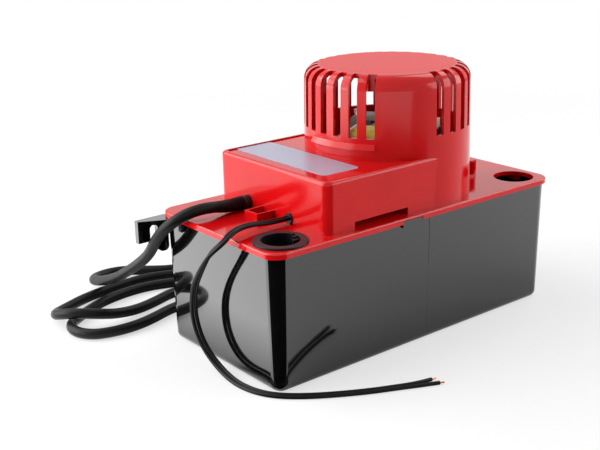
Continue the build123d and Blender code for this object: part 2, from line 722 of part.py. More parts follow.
# ---------------------------------------------------------------- cord bushes
def make_cord_bush():
    """Strain-relief bush that carries the supply cord through the box's end wall."""
    x_from = BOX_END_X - CORD_BUSH_PROUD
    length = CORD_BUSH_PROUD + COVER_WALL + BUSH_INSIDE
    radius = CORD_DIAMETER / 2 + CORD_BUSH_WALL
    bush = Cylinder(radius, length)
    bush = fillet(bush.edges().group_by(Axis.Z)[0], 0.5)
    bush -= Pos(0, 0, CORD_BUSH_PROUD) * Cylinder(CORD_DIAMETER / 2, length)
    return Pos(x_from + length / 2, CORD_Y, CORD_Z) * Rot(0, 90, 0) * bush


def make_lead_bush():
    """Small bush for the twin safety lead."""
    length = LEAD_BUSH_PROUD + COVER_WALL + BUSH_INSIDE
    bush = Cylinder(LEAD_DIAMETER + LEAD_BUSH_WALL, length)
    return Pos(BOX_END_X - LEAD_BUSH_PROUD + length / 2, LEAD_Y, LEAD_Z) * Rot(0, 90, 0) * bush


save(make_cord_bush(), "cord_bush")
save(make_lead_bush(), "lead_bush")


# ---------------------------------------------------------------- motor
def slab(u_from, u_to, v_from, v_to, z_from, z_to):
    """Box in the motor's own directions: +u away from the coil, v across."""
    return block(u_from, u_to, v_from, v_to, z_from, z_to)


def place_motor(shape):
    """Turn a piece from the motor's own directions into the pump's."""
    return about_dome(shape, MOTOR_TURN)


def make_stator():
    """Laminated frame: pole block round the rotor and a back leg through the coil."""
    half = STACK_HALF_WIDTH
    frame = slab(-CORE_LEG_BACK, STACK_POLE_FRONT, -half, half, STACK_BOTTOM, STACK_TOP)
    frame = fillet(frame.edges().filter_by(Axis.Z), 2.0)
    coil_half = COIL_LENGTH / 2 + BOBBIN_FLANGE + COIL_GAP
    frame -= slab(
        -CORE_LEG_FRONT, -STACK_POLE_BACK, -coil_half, coil_half, STACK_BOTTOM, STACK_TOP
    )
    for side in (0, 180):
        frame -= Rot(0, 0, side) * ring_slot()
    frame -= rod(ROTOR_RADIUS + AIR_GAP, STACK_BOTTOM, STACK_TOP)
    for v in (-MOTOR_SCREW_V, MOTOR_SCREW_V):
        frame -= rod(MOTOR_SCREW_RADIUS + FIT_GAP, STACK_BOTTOM, STACK_TOP, 0, v)
    return place_motor(frame)


def coil_half_height():
    """Half height of the finished winding."""
    return STACK_HEIGHT / 2 + COIL_BUILD


def make_bobbin():
    """Moulded bobbin: a sleeve on the back leg with a flange at each end."""
    wall = 1.2
    half = COIL_LENGTH / 2
    leg_from, leg_to = -CORE_LEG_BACK, -CORE_LEG_FRONT
    low, high = STACK_BOTTOM, STACK_TOP
    sleeve = slab(leg_from - wall, leg_to + wall, -half, half, low - wall, high + wall)
    reach = coil_half_height() + 0.6
    flange_u = (leg_from - COIL_BUILD, leg_to + COIL_BUILD)
    bobbin = sleeve
    for side in (-1, 1):
        near, far = side * half, side * (half + BOBBIN_FLANGE)
        flange = slab(
            flange_u[0] - 0.4,
            flange_u[1] - 0.2,
            min(near, far),
            max(near, far),
            STACK_MID - reach,
            STACK_MID + reach,
        )
        bobbin += flange
    bobbin -= slab(leg_from, leg_to, -2 * half, 2 * half, low, high)
    return place_motor(bobbin)


def make_coil():
    """Taped winding round the bobbin's sleeve."""
    wall = 1.2
    half = COIL_LENGTH / 2
    u_from = -CORE_LEG_BACK - COIL_BUILD
    u_to = -CORE_LEG_FRONT + COIL_BUILD - 0.4
    low, high = STACK_MID - coil_half_height(), STACK_MID + coil_half_height()
    coil = slab(u_from, u_to, -half, half, low, high)
    coil = fillet(coil.edges().filter_by(Axis.Y), COIL_CORNER)
    coil -= slab(
        -CORE_LEG_BACK - wall,
        -CORE_LEG_FRONT + wall,
        -half,
        half,
        STACK_BOTTOM - wall,
        STACK_TOP + wall,
    )
    return place_motor(coil)


def make_bracket(upper):
    """Bearing bracket: a bridge over the rotor on two feet, with a bearing housing."""
    reach = MOTOR_SCREW_V + BRACKET_WIDTH * 0.3
    inner = ROTOR_RADIUS + 2.0
    half = BRACKET_WIDTH / 2
    near = STACK_TOP
    far = near + BRACKET_STANDOFF
    top = far + BRACKET_THICKNESS
    bridge = slab(-half, half, -reach, reach, near, top)
    bridge = fillet(bridge.edges().filter_by(Axis.X).group_by(Axis.Z)[-1], 4.0)
    bridge -= slab(-half, half, -inner, inner, near, far)
    housing_bottom = top - BEARING_HOUSING_HEIGHT + BRACKET_THICKNESS
    bridge += rod(BEARING_HOUSING_RADIUS, housing_bottom, top + BRACKET_THICKNESS)
    bridge -= rod(BUSH_RADIUS, housing_bottom, top + BRACKET_THICKNESS)
    for v in (-MOTOR_SCREW_V, MOTOR_SCREW_V):
        bridge -= rod(MOTOR_SCREW_RADIUS + FIT_GAP, near, top, 0, v)
    if not upper:
        bridge = mirror(bridge, Plane.XY.offset(STACK_MID))
    return place_motor(bridge)


def bush_span(upper):
    """Lower and upper height of a bearing bush."""
    top = STACK_TOP + BRACKET_STANDOFF + 2 * BRACKET_THICKNESS
    span = (top - BUSH_HEIGHT, top)
    if upper:
        return span
    return (2 * STACK_MID - span[1], 2 * STACK_MID - span[0])


def make_bush(upper):
    """Sintered bronze bush in a bearing housing."""
    low, high = bush_span(upper)
    return about_dome(tube(BUSH_RADIUS - FIT_GAP, SHAFT_RADIUS + SHAFT_CLEARANCE, low, high))


def make_motor_screws():
    """Two long screws through both brackets and the stack into the deck's posts."""
    seat = STACK_TOP + BRACKET_STANDOFF + BRACKET_THICKNESS
    bite = lower_bracket_bottom() - DECK_TOP - 2.0
    length = seat - lower_bracket_bottom() + bite
    spots = motor_screw_spots()
    screws = [
        screw(
            MOTOR_SCREW_RADIUS - FIT_GAP,
            length,
            MOTOR_SCREW_HEAD_RADIUS,
            MOTOR_SCREW_HEAD,
            x,
            y,
            seat,
            up=False,
        )
        for x, y in spots
    ]
    return Compound(children=screws)


def ring_slot():
    """Slot in a pole that one side of a shading ring passes through."""
    gap = RING_SLOT_GAP
    u_from, v_from, wire = SHADING_RING_U, SHADING_RING_V, SHADING_RING_WIRE
    return slab(
        u_from - gap, u_from + wire + gap, v_from - gap, v_from + wire + gap, STACK_BOTTOM, STACK_TOP
    )


def make_shading_rings():
    """Two copper rings, each round one half of a pole."""
    u_from, v_from, wire = SHADING_RING_U, SHADING_RING_V, SHADING_RING_WIRE
    v_to = STACK_HALF_WIDTH + RING_SLOT_GAP
    low, high = STACK_BOTTOM - RING_SLOT_GAP, STACK_TOP + RING_SLOT_GAP
    ring = slab(u_from, u_from + wire, v_from, v_to + wire, low - wire, high + wire)
    ring -= slab(u_from, u_from + wire, v_from + wire, v_to, low, high)
    rings = [place_motor(Rot(0, 0, side) * ring) for side in (0, 180)]
    return Compound(children=rings)


def make_terminal_block():
    """Terminal housing on the side of the stack."""
    near = -STACK_HALF_WIDTH
    housing_top = TERMINAL_BOTTOM + TERMINAL_HEIGHT
    housing = slab(
        TERMINAL_U, TERMINAL_U + TERMINAL_LENGTH, near - TERMINAL_DEPTH, near, TERMINAL_BOTTOM, housing_top
    )
    return place_motor(fillet(housing.edges().filter_by(Axis.Z), 1.0))


def make_terminal_cap():
    """Pale insulating cap on the terminal housing."""
    inset = TERMINAL_CAP_INSET
    near = -STACK_HALF_WIDTH - inset
    bottom = TERMINAL_BOTTOM + TERMINAL_HEIGHT
    cap = slab(
        TERMINAL_U + inset,
        TERMINAL_U + TERMINAL_LENGTH - inset,
        near - TERMINAL_DEPTH + 2 * inset,
        near,
        bottom,
        bottom + TERMINAL_CAP_HEIGHT,
    )
    return place_motor(cap)


save(make_stator(), "stator_stack")
save(make_bobbin(), "coil_bobbin")
save(make_coil(), "coil_winding")
save(make_bracket(True), "upper_bracket")
save(make_bracket(False), "lower_bracket")
save(make_bush(True), "upper_bush")
save(make_bush(False), "lower_bush")
save(make_shading_rings(), "shading_rings")
save(make_terminal_block(), "terminal_block")
save(make_terminal_cap(), "terminal_cap")
save(make_motor_screws(), "motor_screws")


# ---------------------------------------------------------------- rotor, shaft, fan and impeller
def make_rotor_core():
    """Laminated rotor on the shaft."""
    return about_dome(tube(ROTOR_RADIUS, SHAFT_RADIUS + FIT_GAP, STACK_BOTTOM, STACK_TOP))


def make_rotor_rings():
    """Cast end rings of the rotor's cage, one at each end of the core."""
    rings = []
    for low in (STACK_BOTTOM - ROTOR_OVERHANG, STACK_TOP):
        ring = tube(ROTOR_RADIUS - 0.6, ROTOR_RADIUS * 0.6, low, low + ROTOR_OVERHANG)
        rings.append(about_dome(ring))
    return Compound(children=rings)


def make_shaft():
    """Motor shaft that runs down the column to the impeller."""
    shaft = rod(SHAFT_RADIUS, SHAFT_BOTTOM, SHAFT_TOP)
    shaft = chamfer(shaft.edges().group_by(Axis.Z)[-1], 0.6)
    return about_dome(shaft)


def make_fan():
    """Small cooling fan low on the shaft, with pitched blades."""
    low = DECK_TOP + FAN_FLOOR_GAP
    high = low + FAN_HEIGHT
    fan = rod(FAN_HUB_RADIUS, low, high)
    blade_length = FAN_RADIUS - FAN_HUB_RADIUS + 1.0
    middle = (FAN_RADIUS + FAN_HUB_RADIUS - 1.0) / 2
    for index in range(FAN_BLADES):
        blade = Pos(middle, 0, (low + high) / 2) * Rot(35, 0, 0)
        blade *= Box(blade_length, FAN_BLADE_THICKNESS, FAN_HEIGHT * 1.4)
        fan += Rot(0, 0, index * 360 / FAN_BLADES) * blade
    fan &= rod(FAN_RADIUS, low, high)
    fan -= rod(SHAFT_RADIUS + FIT_GAP, low, high)
    return about_dome(fan)


def make_impeller():
    """Open impeller: a disc with curved vanes below it, facing the eye."""
    disc_top = SHAFT_BOTTOM + 0.7 + IMPELLER_VANE_HEIGHT + IMPELLER_DISC
    disc_bottom = disc_top - IMPELLER_DISC
    vane_bottom = disc_bottom - IMPELLER_VANE_HEIGHT
    wheel = rod(IMPELLER_RADIUS, disc_bottom, disc_top)
    wheel += rod(IMPELLER_HUB_RADIUS, SHAFT_BOTTOM, IMPELLER_HUB_TOP)
    start = (IMPELLER_HUB_RADIUS - 0.5, 0)
    middle = (IMPELLER_RADIUS * 0.62, -IMPELLER_RADIUS * 0.12)
    end = (IMPELLER_RADIUS * 0.86, -IMPELLER_RADIUS * 0.48)
    spine = ThreePointArc(start, middle, end)
    plan = Pos(0, 0, vane_bottom) * trace(spine, IMPELLER_VANE_THICKNESS)
    vane = extrude(plan, IMPELLER_VANE_HEIGHT)
    for index in range(IMPELLER_VANES):
        wheel += Rot(0, 0, index * 360 / IMPELLER_VANES) * vane
    wheel -= rod(SHAFT_RADIUS + FIT_GAP, SHAFT_BOTTOM, IMPELLER_HUB_TOP)
    return about_dome(wheel)


save(make_rotor_core(), "rotor_core")
save(make_rotor_rings(), "rotor_end_rings")
save(make_shaft(), "motor_shaft")
save(make_fan(), "cooling_fan")
save(make_impeller(), "impeller")


# ---------------------------------------------------------------- pump column and volute
def lugs(bottom, top, hole):
    """Round lugs at the volute's rim, each with a screw hole."""
    body = None
    for angle in LUG_ANGLES:
        lug = rod(LUG_RADIUS, bottom, top, LUG_RING)
        bridge = block(VOLUTE_RADIUS - 2, LUG_RING, -LUG_RADIUS, LUG_RADIUS, bottom, top)
        piece = Rot(0, 0, angle) * (lug + bridge)
        body = piece if body is None else body + piece
    holes = [Rot(0, 0, angle) * rod(hole, bottom, top, LUG_RING) for angle in LUG_ANGLES]
    return body, holes


def make_column():
    """Column that hangs the pump from the deck: flange, slotted tube and volute lid."""
    top = DECK_UNDERSIDE
    lid_top = VOLUTE_TOP + VOLUTE_LID
    column = rod(COLUMN_FLANGE_RADIUS, top - COLUMN_FLANGE, top)
    column += rod(COLUMN_RADIUS, lid_top, top)
    column += rod(VOLUTE_RADIUS, VOLUTE_TOP, lid_top)
    ears, holes = lugs(VOLUTE_TOP, lid_top, VOLUTE_SCREW_RADIUS + FIT_GAP)
    column += ears
    column -= rod(COLUMN_BORE, lid_top, top)
    column -= rod(SHAFT_RADIUS + LID_HOLE_GAP, VOLUTE_TOP, lid_top)
    for hole in holes:
        column -= hole
    for angle in COLUMN_SCREW_ANGLES:
        pilot = rod(VOLUTE_SCREW_RADIUS + FIT_GAP, top - COLUMN_FLANGE, top, COLUMN_SCREW_RING)
        column -= Rot(0, 0, angle) * pilot
    half_w, half_h = COLUMN_SLOT_WIDTH / 2, COLUMN_SLOT_HEIGHT / 2
    low_slot = lid_top + COLUMN_SLOT_HEIGHT
    for middle in (low_slot, COLUMN_SLOT_Z):
        reach = COLUMN_RADIUS + 1
        column -= block(-reach, reach, -half_w, half_w, middle - half_h, middle + half_h)
    return about_dome(column)


def make_volute():
    """Pump casing: cup with an eye in its floor, three lugs and a tangential spout."""
    shell = rod(VOLUTE_RADIUS, VOLUTE_BOTTOM, VOLUTE_TOP)
    ears, holes = lugs(LUG_BOTTOM, VOLUTE_TOP, VOLUTE_SCREW_RADIUS + FIT_GAP)
    cavity = rod(VOLUTE_RADIUS - VOLUTE_WALL, VOLUTE_BOTTOM + VOLUTE_FLOOR, VOLUTE_TOP)
    shell = shell + ears + spout(SPOUT_RADIUS, 0, SPOUT_LENGTH) - cavity
    shell -= rod(EYE_RADIUS, VOLUTE_BOTTOM, VOLUTE_TOP)
    shell -= spout(SPOUT_BORE, 0, SPOUT_LENGTH)
    for hole in holes:
        shell -= hole
    return about_dome(shell)


def spout(radius, start, end):
    """Cylinder along the spout's axis between two distances from its tangent point."""
    turn = radians(SPOUT_ANGLE)
    tangent = (SPOUT_OFFSET * sin(turn), -SPOUT_OFFSET * cos(turn), SPOUT_Z)
    middle = (start + end) / 2
    along = Pos(middle * cos(turn), middle * sin(turn), 0)
    return Pos(*tangent) * along * Rot(0, 0, SPOUT_ANGLE) * Rot(0, 90, 0) * Cylinder(radius, end - start)


def make_volute_screws():
    """Three screws that hold the volute to the column's lid, from below."""
    screws = []
    for angle in LUG_ANGLES:
        fastener = screw(
            VOLUTE_SCREW_RADIUS,
            VOLUTE_SCREW_LENGTH,
            VOLUTE_SCREW_HEAD_RADIUS,
            VOLUTE_SCREW_HEAD,
            LUG_RING,
            0,
            LUG_BOTTOM,
            up=True,
        )
        screws.append(about_dome(fastener, angle))
    return Compound(children=screws)


def make_column_screws():
    """Three screws that hold the column's flange under the deck."""
    screws = []
    for angle in COLUMN_SCREW_ANGLES:
        fastener = screw(
            VOLUTE_SCREW_RADIUS,
            COLUMN_SCREW_LENGTH,
            COLUMN_SCREW_HEAD_RADIUS,
            COLUMN_SCREW_HEAD,
            COLUMN_SCREW_RING,
            0,
            DECK_TOP,
            up=False,
        )
        screws.append(about_dome(fastener, angle))
    return Compound(children=screws)


def make_strainer():
    """Slotted ring under the volute that keeps debris out of the eye."""
    bottom = VOLUTE_BOTTOM - STRAINER_HEIGHT
    ring = tube(STRAINER_RADIUS, STRAINER_RADIUS - STRAINER_WALL, bottom, VOLUTE_BOTTOM)
    half = STRAINER_SLOT_WIDTH / 2
    for index in range(STRAINER_SLOTS // 2):
        reach = STRAINER_RADIUS + 1
        slot = block(-reach, reach, -half, half, bottom, bottom + STRAINER_SLOT_HEIGHT)
        ring -= Rot(0, 0, (index + 0.5) * 360 / STRAINER_SLOTS) * slot
    return about_dome(ring)


save(make_column(), "pump_column")
save(make_volute(), "volute_casing")
save(make_volute_screws(), "volute_screws")
save(make_column_screws(), "column_screws")
save(make_strainer(), "strainer")


# ---------------------------------------------------------------- discharge
def make_riser_hose():
    """Hose from the volute's spout across the tank and up to the check valve."""
    turn = radians(SPOUT_ANGLE)
    start_at = SPOUT_LENGTH - HOSE_OVERLAP
    start = (
        DOME_X + SPOUT_OFFSET * sin(turn) + start_at * cos(turn),
        -SPOUT_OFFSET * cos(turn) + start_at * sin(turn),
        SPOUT_Z,
    )
    path = FilletPolyline(
        start, (VALVE_X, VALVE_Y, SPOUT_Z), (VALVE_X, VALVE_Y, HOSE_TOP), radius=HOSE_BEND_RADIUS
    )
    inner = SPOUT_RADIUS + HOSE_FIT
    section = Circle(inner + HOSE_WALL) - Circle(inner)
    return sweep((path ^ 0) * section, path=path)


def make_valve_body():
    """Check-valve body: hose stem, thread through the deck, collar and ball chamber."""
    seat_bottom = DECK_TOP + GASKET_THICKNESS
    body_top = seat_bottom + VALVE_BODY_HEIGHT
    chamber = seat_bottom + SEAT_THICKNESS
    nut_bottom = DECK_UNDERSIDE - NUT_HEIGHT
    body = rod(SPOUT_RADIUS, VALVE_STEM_BOTTOM, seat_bottom, VALVE_X, VALVE_Y)
    body += rod(VALVE_THREAD_RADIUS, nut_bottom, seat_bottom, VALVE_X, VALVE_Y)
    body += rod(VALVE_BODY_RADIUS, seat_bottom, body_top, VALVE_X, VALVE_Y)
    body -= rod(SPOUT_BORE, VALVE_STEM_BOTTOM, seat_bottom, VALVE_X, VALVE_Y)
    body -= rod(SEAT_RADIUS, seat_bottom, chamber, VALVE_X, VALVE_Y)
    body -= rod(VALVE_CAVITY_RADIUS, chamber, body_top, VALVE_X, VALVE_Y)
    return body


def make_gasket():
    """Rubber washer between the deck and the valve's collar."""
    inner = VALVE_THREAD_RADIUS + VALVE_HOLE_GAP
    top = DECK_TOP + GASKET_THICKNESS
    return tube(VALVE_BODY_RADIUS, inner, DECK_TOP, top, VALVE_X, VALVE_Y)


def make_valve_nut():
    """Hexagon nut that clamps the valve from under the deck."""
    bottom = DECK_UNDERSIDE - NUT_HEIGHT
    nut = hexagon(NUT_ACROSS, bottom, DECK_UNDERSIDE, VALVE_X, VALVE_Y)
    return nut - rod(VALVE_THREAD_RADIUS + FIT_GAP, bottom, DECK_UNDERSIDE, VALVE_X, VALVE_Y)


def make_check_ball():
    """Ball that rests on the valve's seat and lifts with the flow."""
    on_seat = sqrt(BALL_RADIUS**2 - SEAT_RADIUS**2)
    height = DECK_TOP + GASKET_THICKNESS + SEAT_THICKNESS + on_seat + SEAT_GAP
    return Pos(VALVE_X, VALVE_Y, height) * Sphere(BALL_RADIUS)


def make_discharge_barb():
    """Hexagon cap with a barbed outlet for the discharge hose."""
    bottom = DECK_TOP + GASKET_THICKNESS + VALVE_BODY_HEIGHT
    root = bottom + CAP_HEIGHT
    top = root + BARB_COUNT * BARB_PITCH + BARB_TAIL
    barb = hexagon(NUT_ACROSS, bottom, root, VALVE_X, VALVE_Y)
    plug_radius = VALVE_CAVITY_RADIUS - FIT_GAP
    barb += rod(plug_radius, bottom - CAP_PLUG_DEPTH, bottom, VALVE_X, VALVE_Y)
    barb += rod(BARB_ROOT, root, top, VALVE_X, VALVE_Y)
    for index in range(BARB_COUNT):
        middle = root + BARB_TAIL + (index + 0.5) * BARB_PITCH
        barb += Pos(VALVE_X, VALVE_Y, middle) * Cone(BARB_CREST, BARB_ROOT, BARB_PITCH)
    return barb - rod(BARB_BORE, bottom - CAP_PLUG_DEPTH, top, VALVE_X, VALVE_Y)


save(make_riser_hose(), "riser_hose")
save(make_valve_body(), "check_valve_body")
save(make_gasket(), "valve_gasket")
save(make_valve_nut(), "valve_nut")
save(make_check_ball(), "check_ball")
save(make_discharge_barb(), "discharge_barb")


# ---------------------------------------------------------------- float and switches
def button_tip():
    """Distance of a button's tip from the rod's axis with the float down."""
    return rod_half_thickness(BUTTON_Z - BUTTON_RADIUS) + BUTTON_GAP


def switch_front():
    """Distance of a switch's front face from the rod's axis."""
    return button_tip() + BUTTON_PROUD


def make_float():
    """Hollow-looking sealed float block with a square hole for its rod."""
    middle = (ROD_X, 0, FLOAT_BOTTOM)
    body = extrude(Pos(*middle) * RectangleRounded(FLOAT_LENGTH, FLOAT_WIDTH, FLOAT_CORNER), FLOAT_HEIGHT)
    rims = body.edges().group_by(Axis.Z)[0] + body.edges().group_by(Axis.Z)[-1]
    body = fillet(rims, FLOAT_EDGE)
    half_l = ROD_WIDTH / 2 + FIT_GAP
    half_w = rod_half_thickness(0) + FIT_GAP
    top = FLOAT_BOTTOM + FLOAT_HEIGHT
    return body - block(ROD_X - half_l, ROD_X + half_l, -half_w, half_w, FLOAT_BOTTOM, top)


def make_float_rod():
    """Rod with a wedge-shaped top for the switches and a collar above and below the float."""
    half = rod_half_thickness(0)
    taper_from = ROD_TOP - FLOAT_TRAVEL
    bottom = TANK_FLOOR + ROD_FOOT_GAP
    outline = Polyline(
        (-half, bottom),
        (half, bottom),
        (half, taper_from),
        (ROD_TIP_THICKNESS / 2, ROD_TOP),
        (-ROD_TIP_THICKNESS / 2, ROD_TOP),
        (-half, taper_from),
        close=True,
    )
    stem = extrude(Plane.YZ.offset(-ROD_WIDTH / 2) * make_face(outline), ROD_WIDTH)
    rod_shape = Pos(ROD_X, 0, 0) * stem
    float_top = FLOAT_BOTTOM + FLOAT_HEIGHT
    for low in (FLOAT_BOTTOM - ROD_COLLAR, float_top):
        rod_shape += rounded_block(ROD_FLANGE, ROD_FLANGE, 2.0, low, low + ROD_COLLAR, ROD_X, 0)
    return rod_shape


def switch_middle():
    """Distance of a switch's centre from the rod's axis."""
    return switch_front() + SWITCH_DEPTH / 2


def make_switch_bracket():
    """Base plate that carries both switches either side of the rod."""
    length = SWITCH_LENGTH + 2 * BRACKET_MARGIN
    width = 2 * (switch_front() + SWITCH_DEPTH + BRACKET_MARGIN)
    top = DECK_TOP + BRACKET_PLATE
    plate = rounded_block(length, width, 2.0, DECK_TOP, top, ROD_X, 0)
    half_l = ROD_WIDTH / 2 + ROD_GUIDE_GAP
    half_w = rod_half_thickness(0) + ROD_GUIDE_GAP
    plate -= block(ROD_X - half_l, ROD_X + half_l, -half_w, half_w, DECK_TOP, top)
    for side in (-1, 1):
        plate -= rod(
            SWITCH_SCREW_RADIUS + FIT_GAP, DECK_TOP, top, ROD_X + side * BRACKET_SCREW_REACH, 0
        )
        for x, y in switch_screw_spots(side):
            plate -= rod(SWITCH_SCREW_RADIUS + FIT_GAP, top - SWITCH_SCREW_BITE, top, x, y)
    return plate


def switch_screw_spots(side):
    """Centres of one switch's two screws."""
    half = SWITCH_HOLE_PITCH / 2
    return [(ROD_X + along, side * switch_middle()) for along in (-half, half)]


def make_switch(side):
    """Snap switch body with a plunger hole that faces the rod."""
    bottom = DECK_TOP + BRACKET_PLATE
    top = bottom + SWITCH_HEIGHT
    body = rounded_block(SWITCH_LENGTH, SWITCH_DEPTH, 1.0, bottom, top, ROD_X, side * switch_middle())
    for x, y in switch_screw_spots(side):
        body -= rod(SWITCH_HOLE_RADIUS, bottom, top, x, y)
    hole_length = BUTTON_LENGTH - BUTTON_PROUD + BUTTON_TRAVEL + BUTTON_BACK_GAP
    middle = side * (switch_front() + hole_length / 2)
    hole = Pos(ROD_X, middle, BUTTON_Z) * Rot(90, 0, 0)
    return body - hole * Cylinder(BUTTON_RADIUS + BUTTON_FIT, hole_length)


def make_button(side):
    """Plunger of one switch, round at its tip."""
    plunger = Cylinder(BUTTON_RADIUS, BUTTON_LENGTH)
    plunger = fillet(plunger.edges().group_by(Axis.Z)[0], 0.5)
    middle = side * (button_tip() + BUTTON_LENGTH / 2)
    return Pos(ROD_X, middle, BUTTON_Z) * Rot(-90 * side, 0, 0) * plunger


def make_switch_screws():
    """Four screws that hold the switches to the bracket."""
    seat = DECK_TOP + BRACKET_PLATE + SWITCH_HEIGHT
    length = SWITCH_HEIGHT + SWITCH_SCREW_BITE
    radius, head_radius, head = SWITCH_SCREW_RADIUS, SWITCH_SCREW_HEAD_RADIUS, SWITCH_SCREW_HEAD
    spots = switch_screw_spots(-1) + switch_screw_spots(1)
    return Compound(
        children=[screw(radius, length, head_radius, head, x, y, seat, up=False) for x, y in spots]
    )


def make_bracket_screws():
    """Two screws that hold the bracket to the deck."""
    seat = DECK_TOP + BRACKET_PLATE
    length = BRACKET_SCREW_LENGTH
    radius, head_radius, head = SWITCH_SCREW_RADIUS, SWITCH_SCREW_HEAD_RADIUS, SWITCH_SCREW_HEAD
    spots = [ROD_X - BRACKET_SCREW_REACH, ROD_X + BRACKET_SCREW_REACH]
    return Compound(
        children=[screw(radius, length, head_radius, head, x, 0, seat, up=False) for x in spots]
    )


def make_switch_tabs():
    """Spade terminals on the back of both switches."""
    tabs = []
    for side in (-1, 1):
        near = side * (switch_front() + SWITCH_DEPTH)
        far = near + side * TERMINAL_TAB_LENGTH
        for along in (-TERMINAL_TAB_PITCH, 0, TERMINAL_TAB_PITCH):
            half_w, half_t = TERMINAL_TAB_WIDTH / 2, TERMINAL_TAB_THICKNESS / 2
            middle = ROD_X + along
            tabs.append(
                block(
                    middle - half_w,
                    middle + half_w,
                    min(near, far),
                    max(near, far),
                    BUTTON_Z - half_t,
                    BUTTON_Z + half_t,
                )
            )
    return Compound(children=tabs)


save(make_float(), "float_block")
save(make_float_rod(), "float_rod")
save(make_switch_bracket(), "switch_bracket")
save(make_switch(-1), "pump_switch")
save(make_switch(1), "safety_switch")
save(make_button(-1), "pump_button")
save(make_button(1), "safety_button")
save(make_switch_screws(), "switch_screws")
save(make_bracket_screws(), "bracket_screws")
save(make_switch_tabs(), "switch_terminals")


# ---------------------------------------------------------------- cover screws and clip
def make_cover_screws():
    """Four screws from under the deck into the cover's bosses."""
    return Compound(
        children=[
            screw(
                COVER_SCREW_RADIUS,
                COVER_SCREW_LENGTH,
                COVER_SCREW_HEAD_RADIUS,
                COVER_SCREW_HEAD,
                x,
                y,
                DECK_UNDERSIDE,
                up=True,
            )
            for x, y in cover_screw_spots()
        ]
    )


def make_clip():
    """Small hook on the deck beside the dome that holds a hose or lead."""
    half_w = CLIP_WIDTH / 2
    x_to = CLIP_X + CLIP_LENGTH / 2
    x_from = CLIP_X - CLIP_LENGTH / 2
    top = DECK_TOP + CLIP_HEIGHT
    foot = block(x_from, x_to, -half_w, half_w, DECK_TOP, DECK_TOP + CLIP_THICKNESS)
    finger = block(x_to - CLIP_THICKNESS, x_to, -half_w, half_w, DECK_TOP, top)
    hook = block(x_from + CLIP_THICKNESS, x_to, -half_w, half_w, top - CLIP_THICKNESS, top)
    return Pos(0, CLIP_Y, 0) * (foot + finger + hook)


save(make_cover_screws(), "cover_screws")
save(make_clip(), "cord_clip")


# ---------------------------------------------------------------- cords
def corner_radii(route):
    """Largest fitting arc radius at each inner point of a route."""
    radii = []
    for index in range(1, len(route) - 1):
        before = Vector(*route[index]) - Vector(*route[index - 1])
        after = Vector(*route[index + 1]) - Vector(*route[index])
        half_turn = radians(before.get_angle(after)) / 2
        radii.append(0.45 * min(before.length, after.length) / tan(half_turn))
    return radii


def cord_tube(route, diameter, name):
    """Round tube along a route of straight runs joined by tangent arcs."""
    radii = corner_radii(route)
    path = FilletPolyline(*route, radius=radii)
    body = sweep((path ^ 0) * Circle(diameter / 2), path=path)
    expected = path.length * pi * diameter**2 / 4
    print(name, "length", round(path.length, 1), "radii", [round(value, 1) for value in radii])
    print(name, "volume over section times length", round(body.volume / expected, 5))
    return body


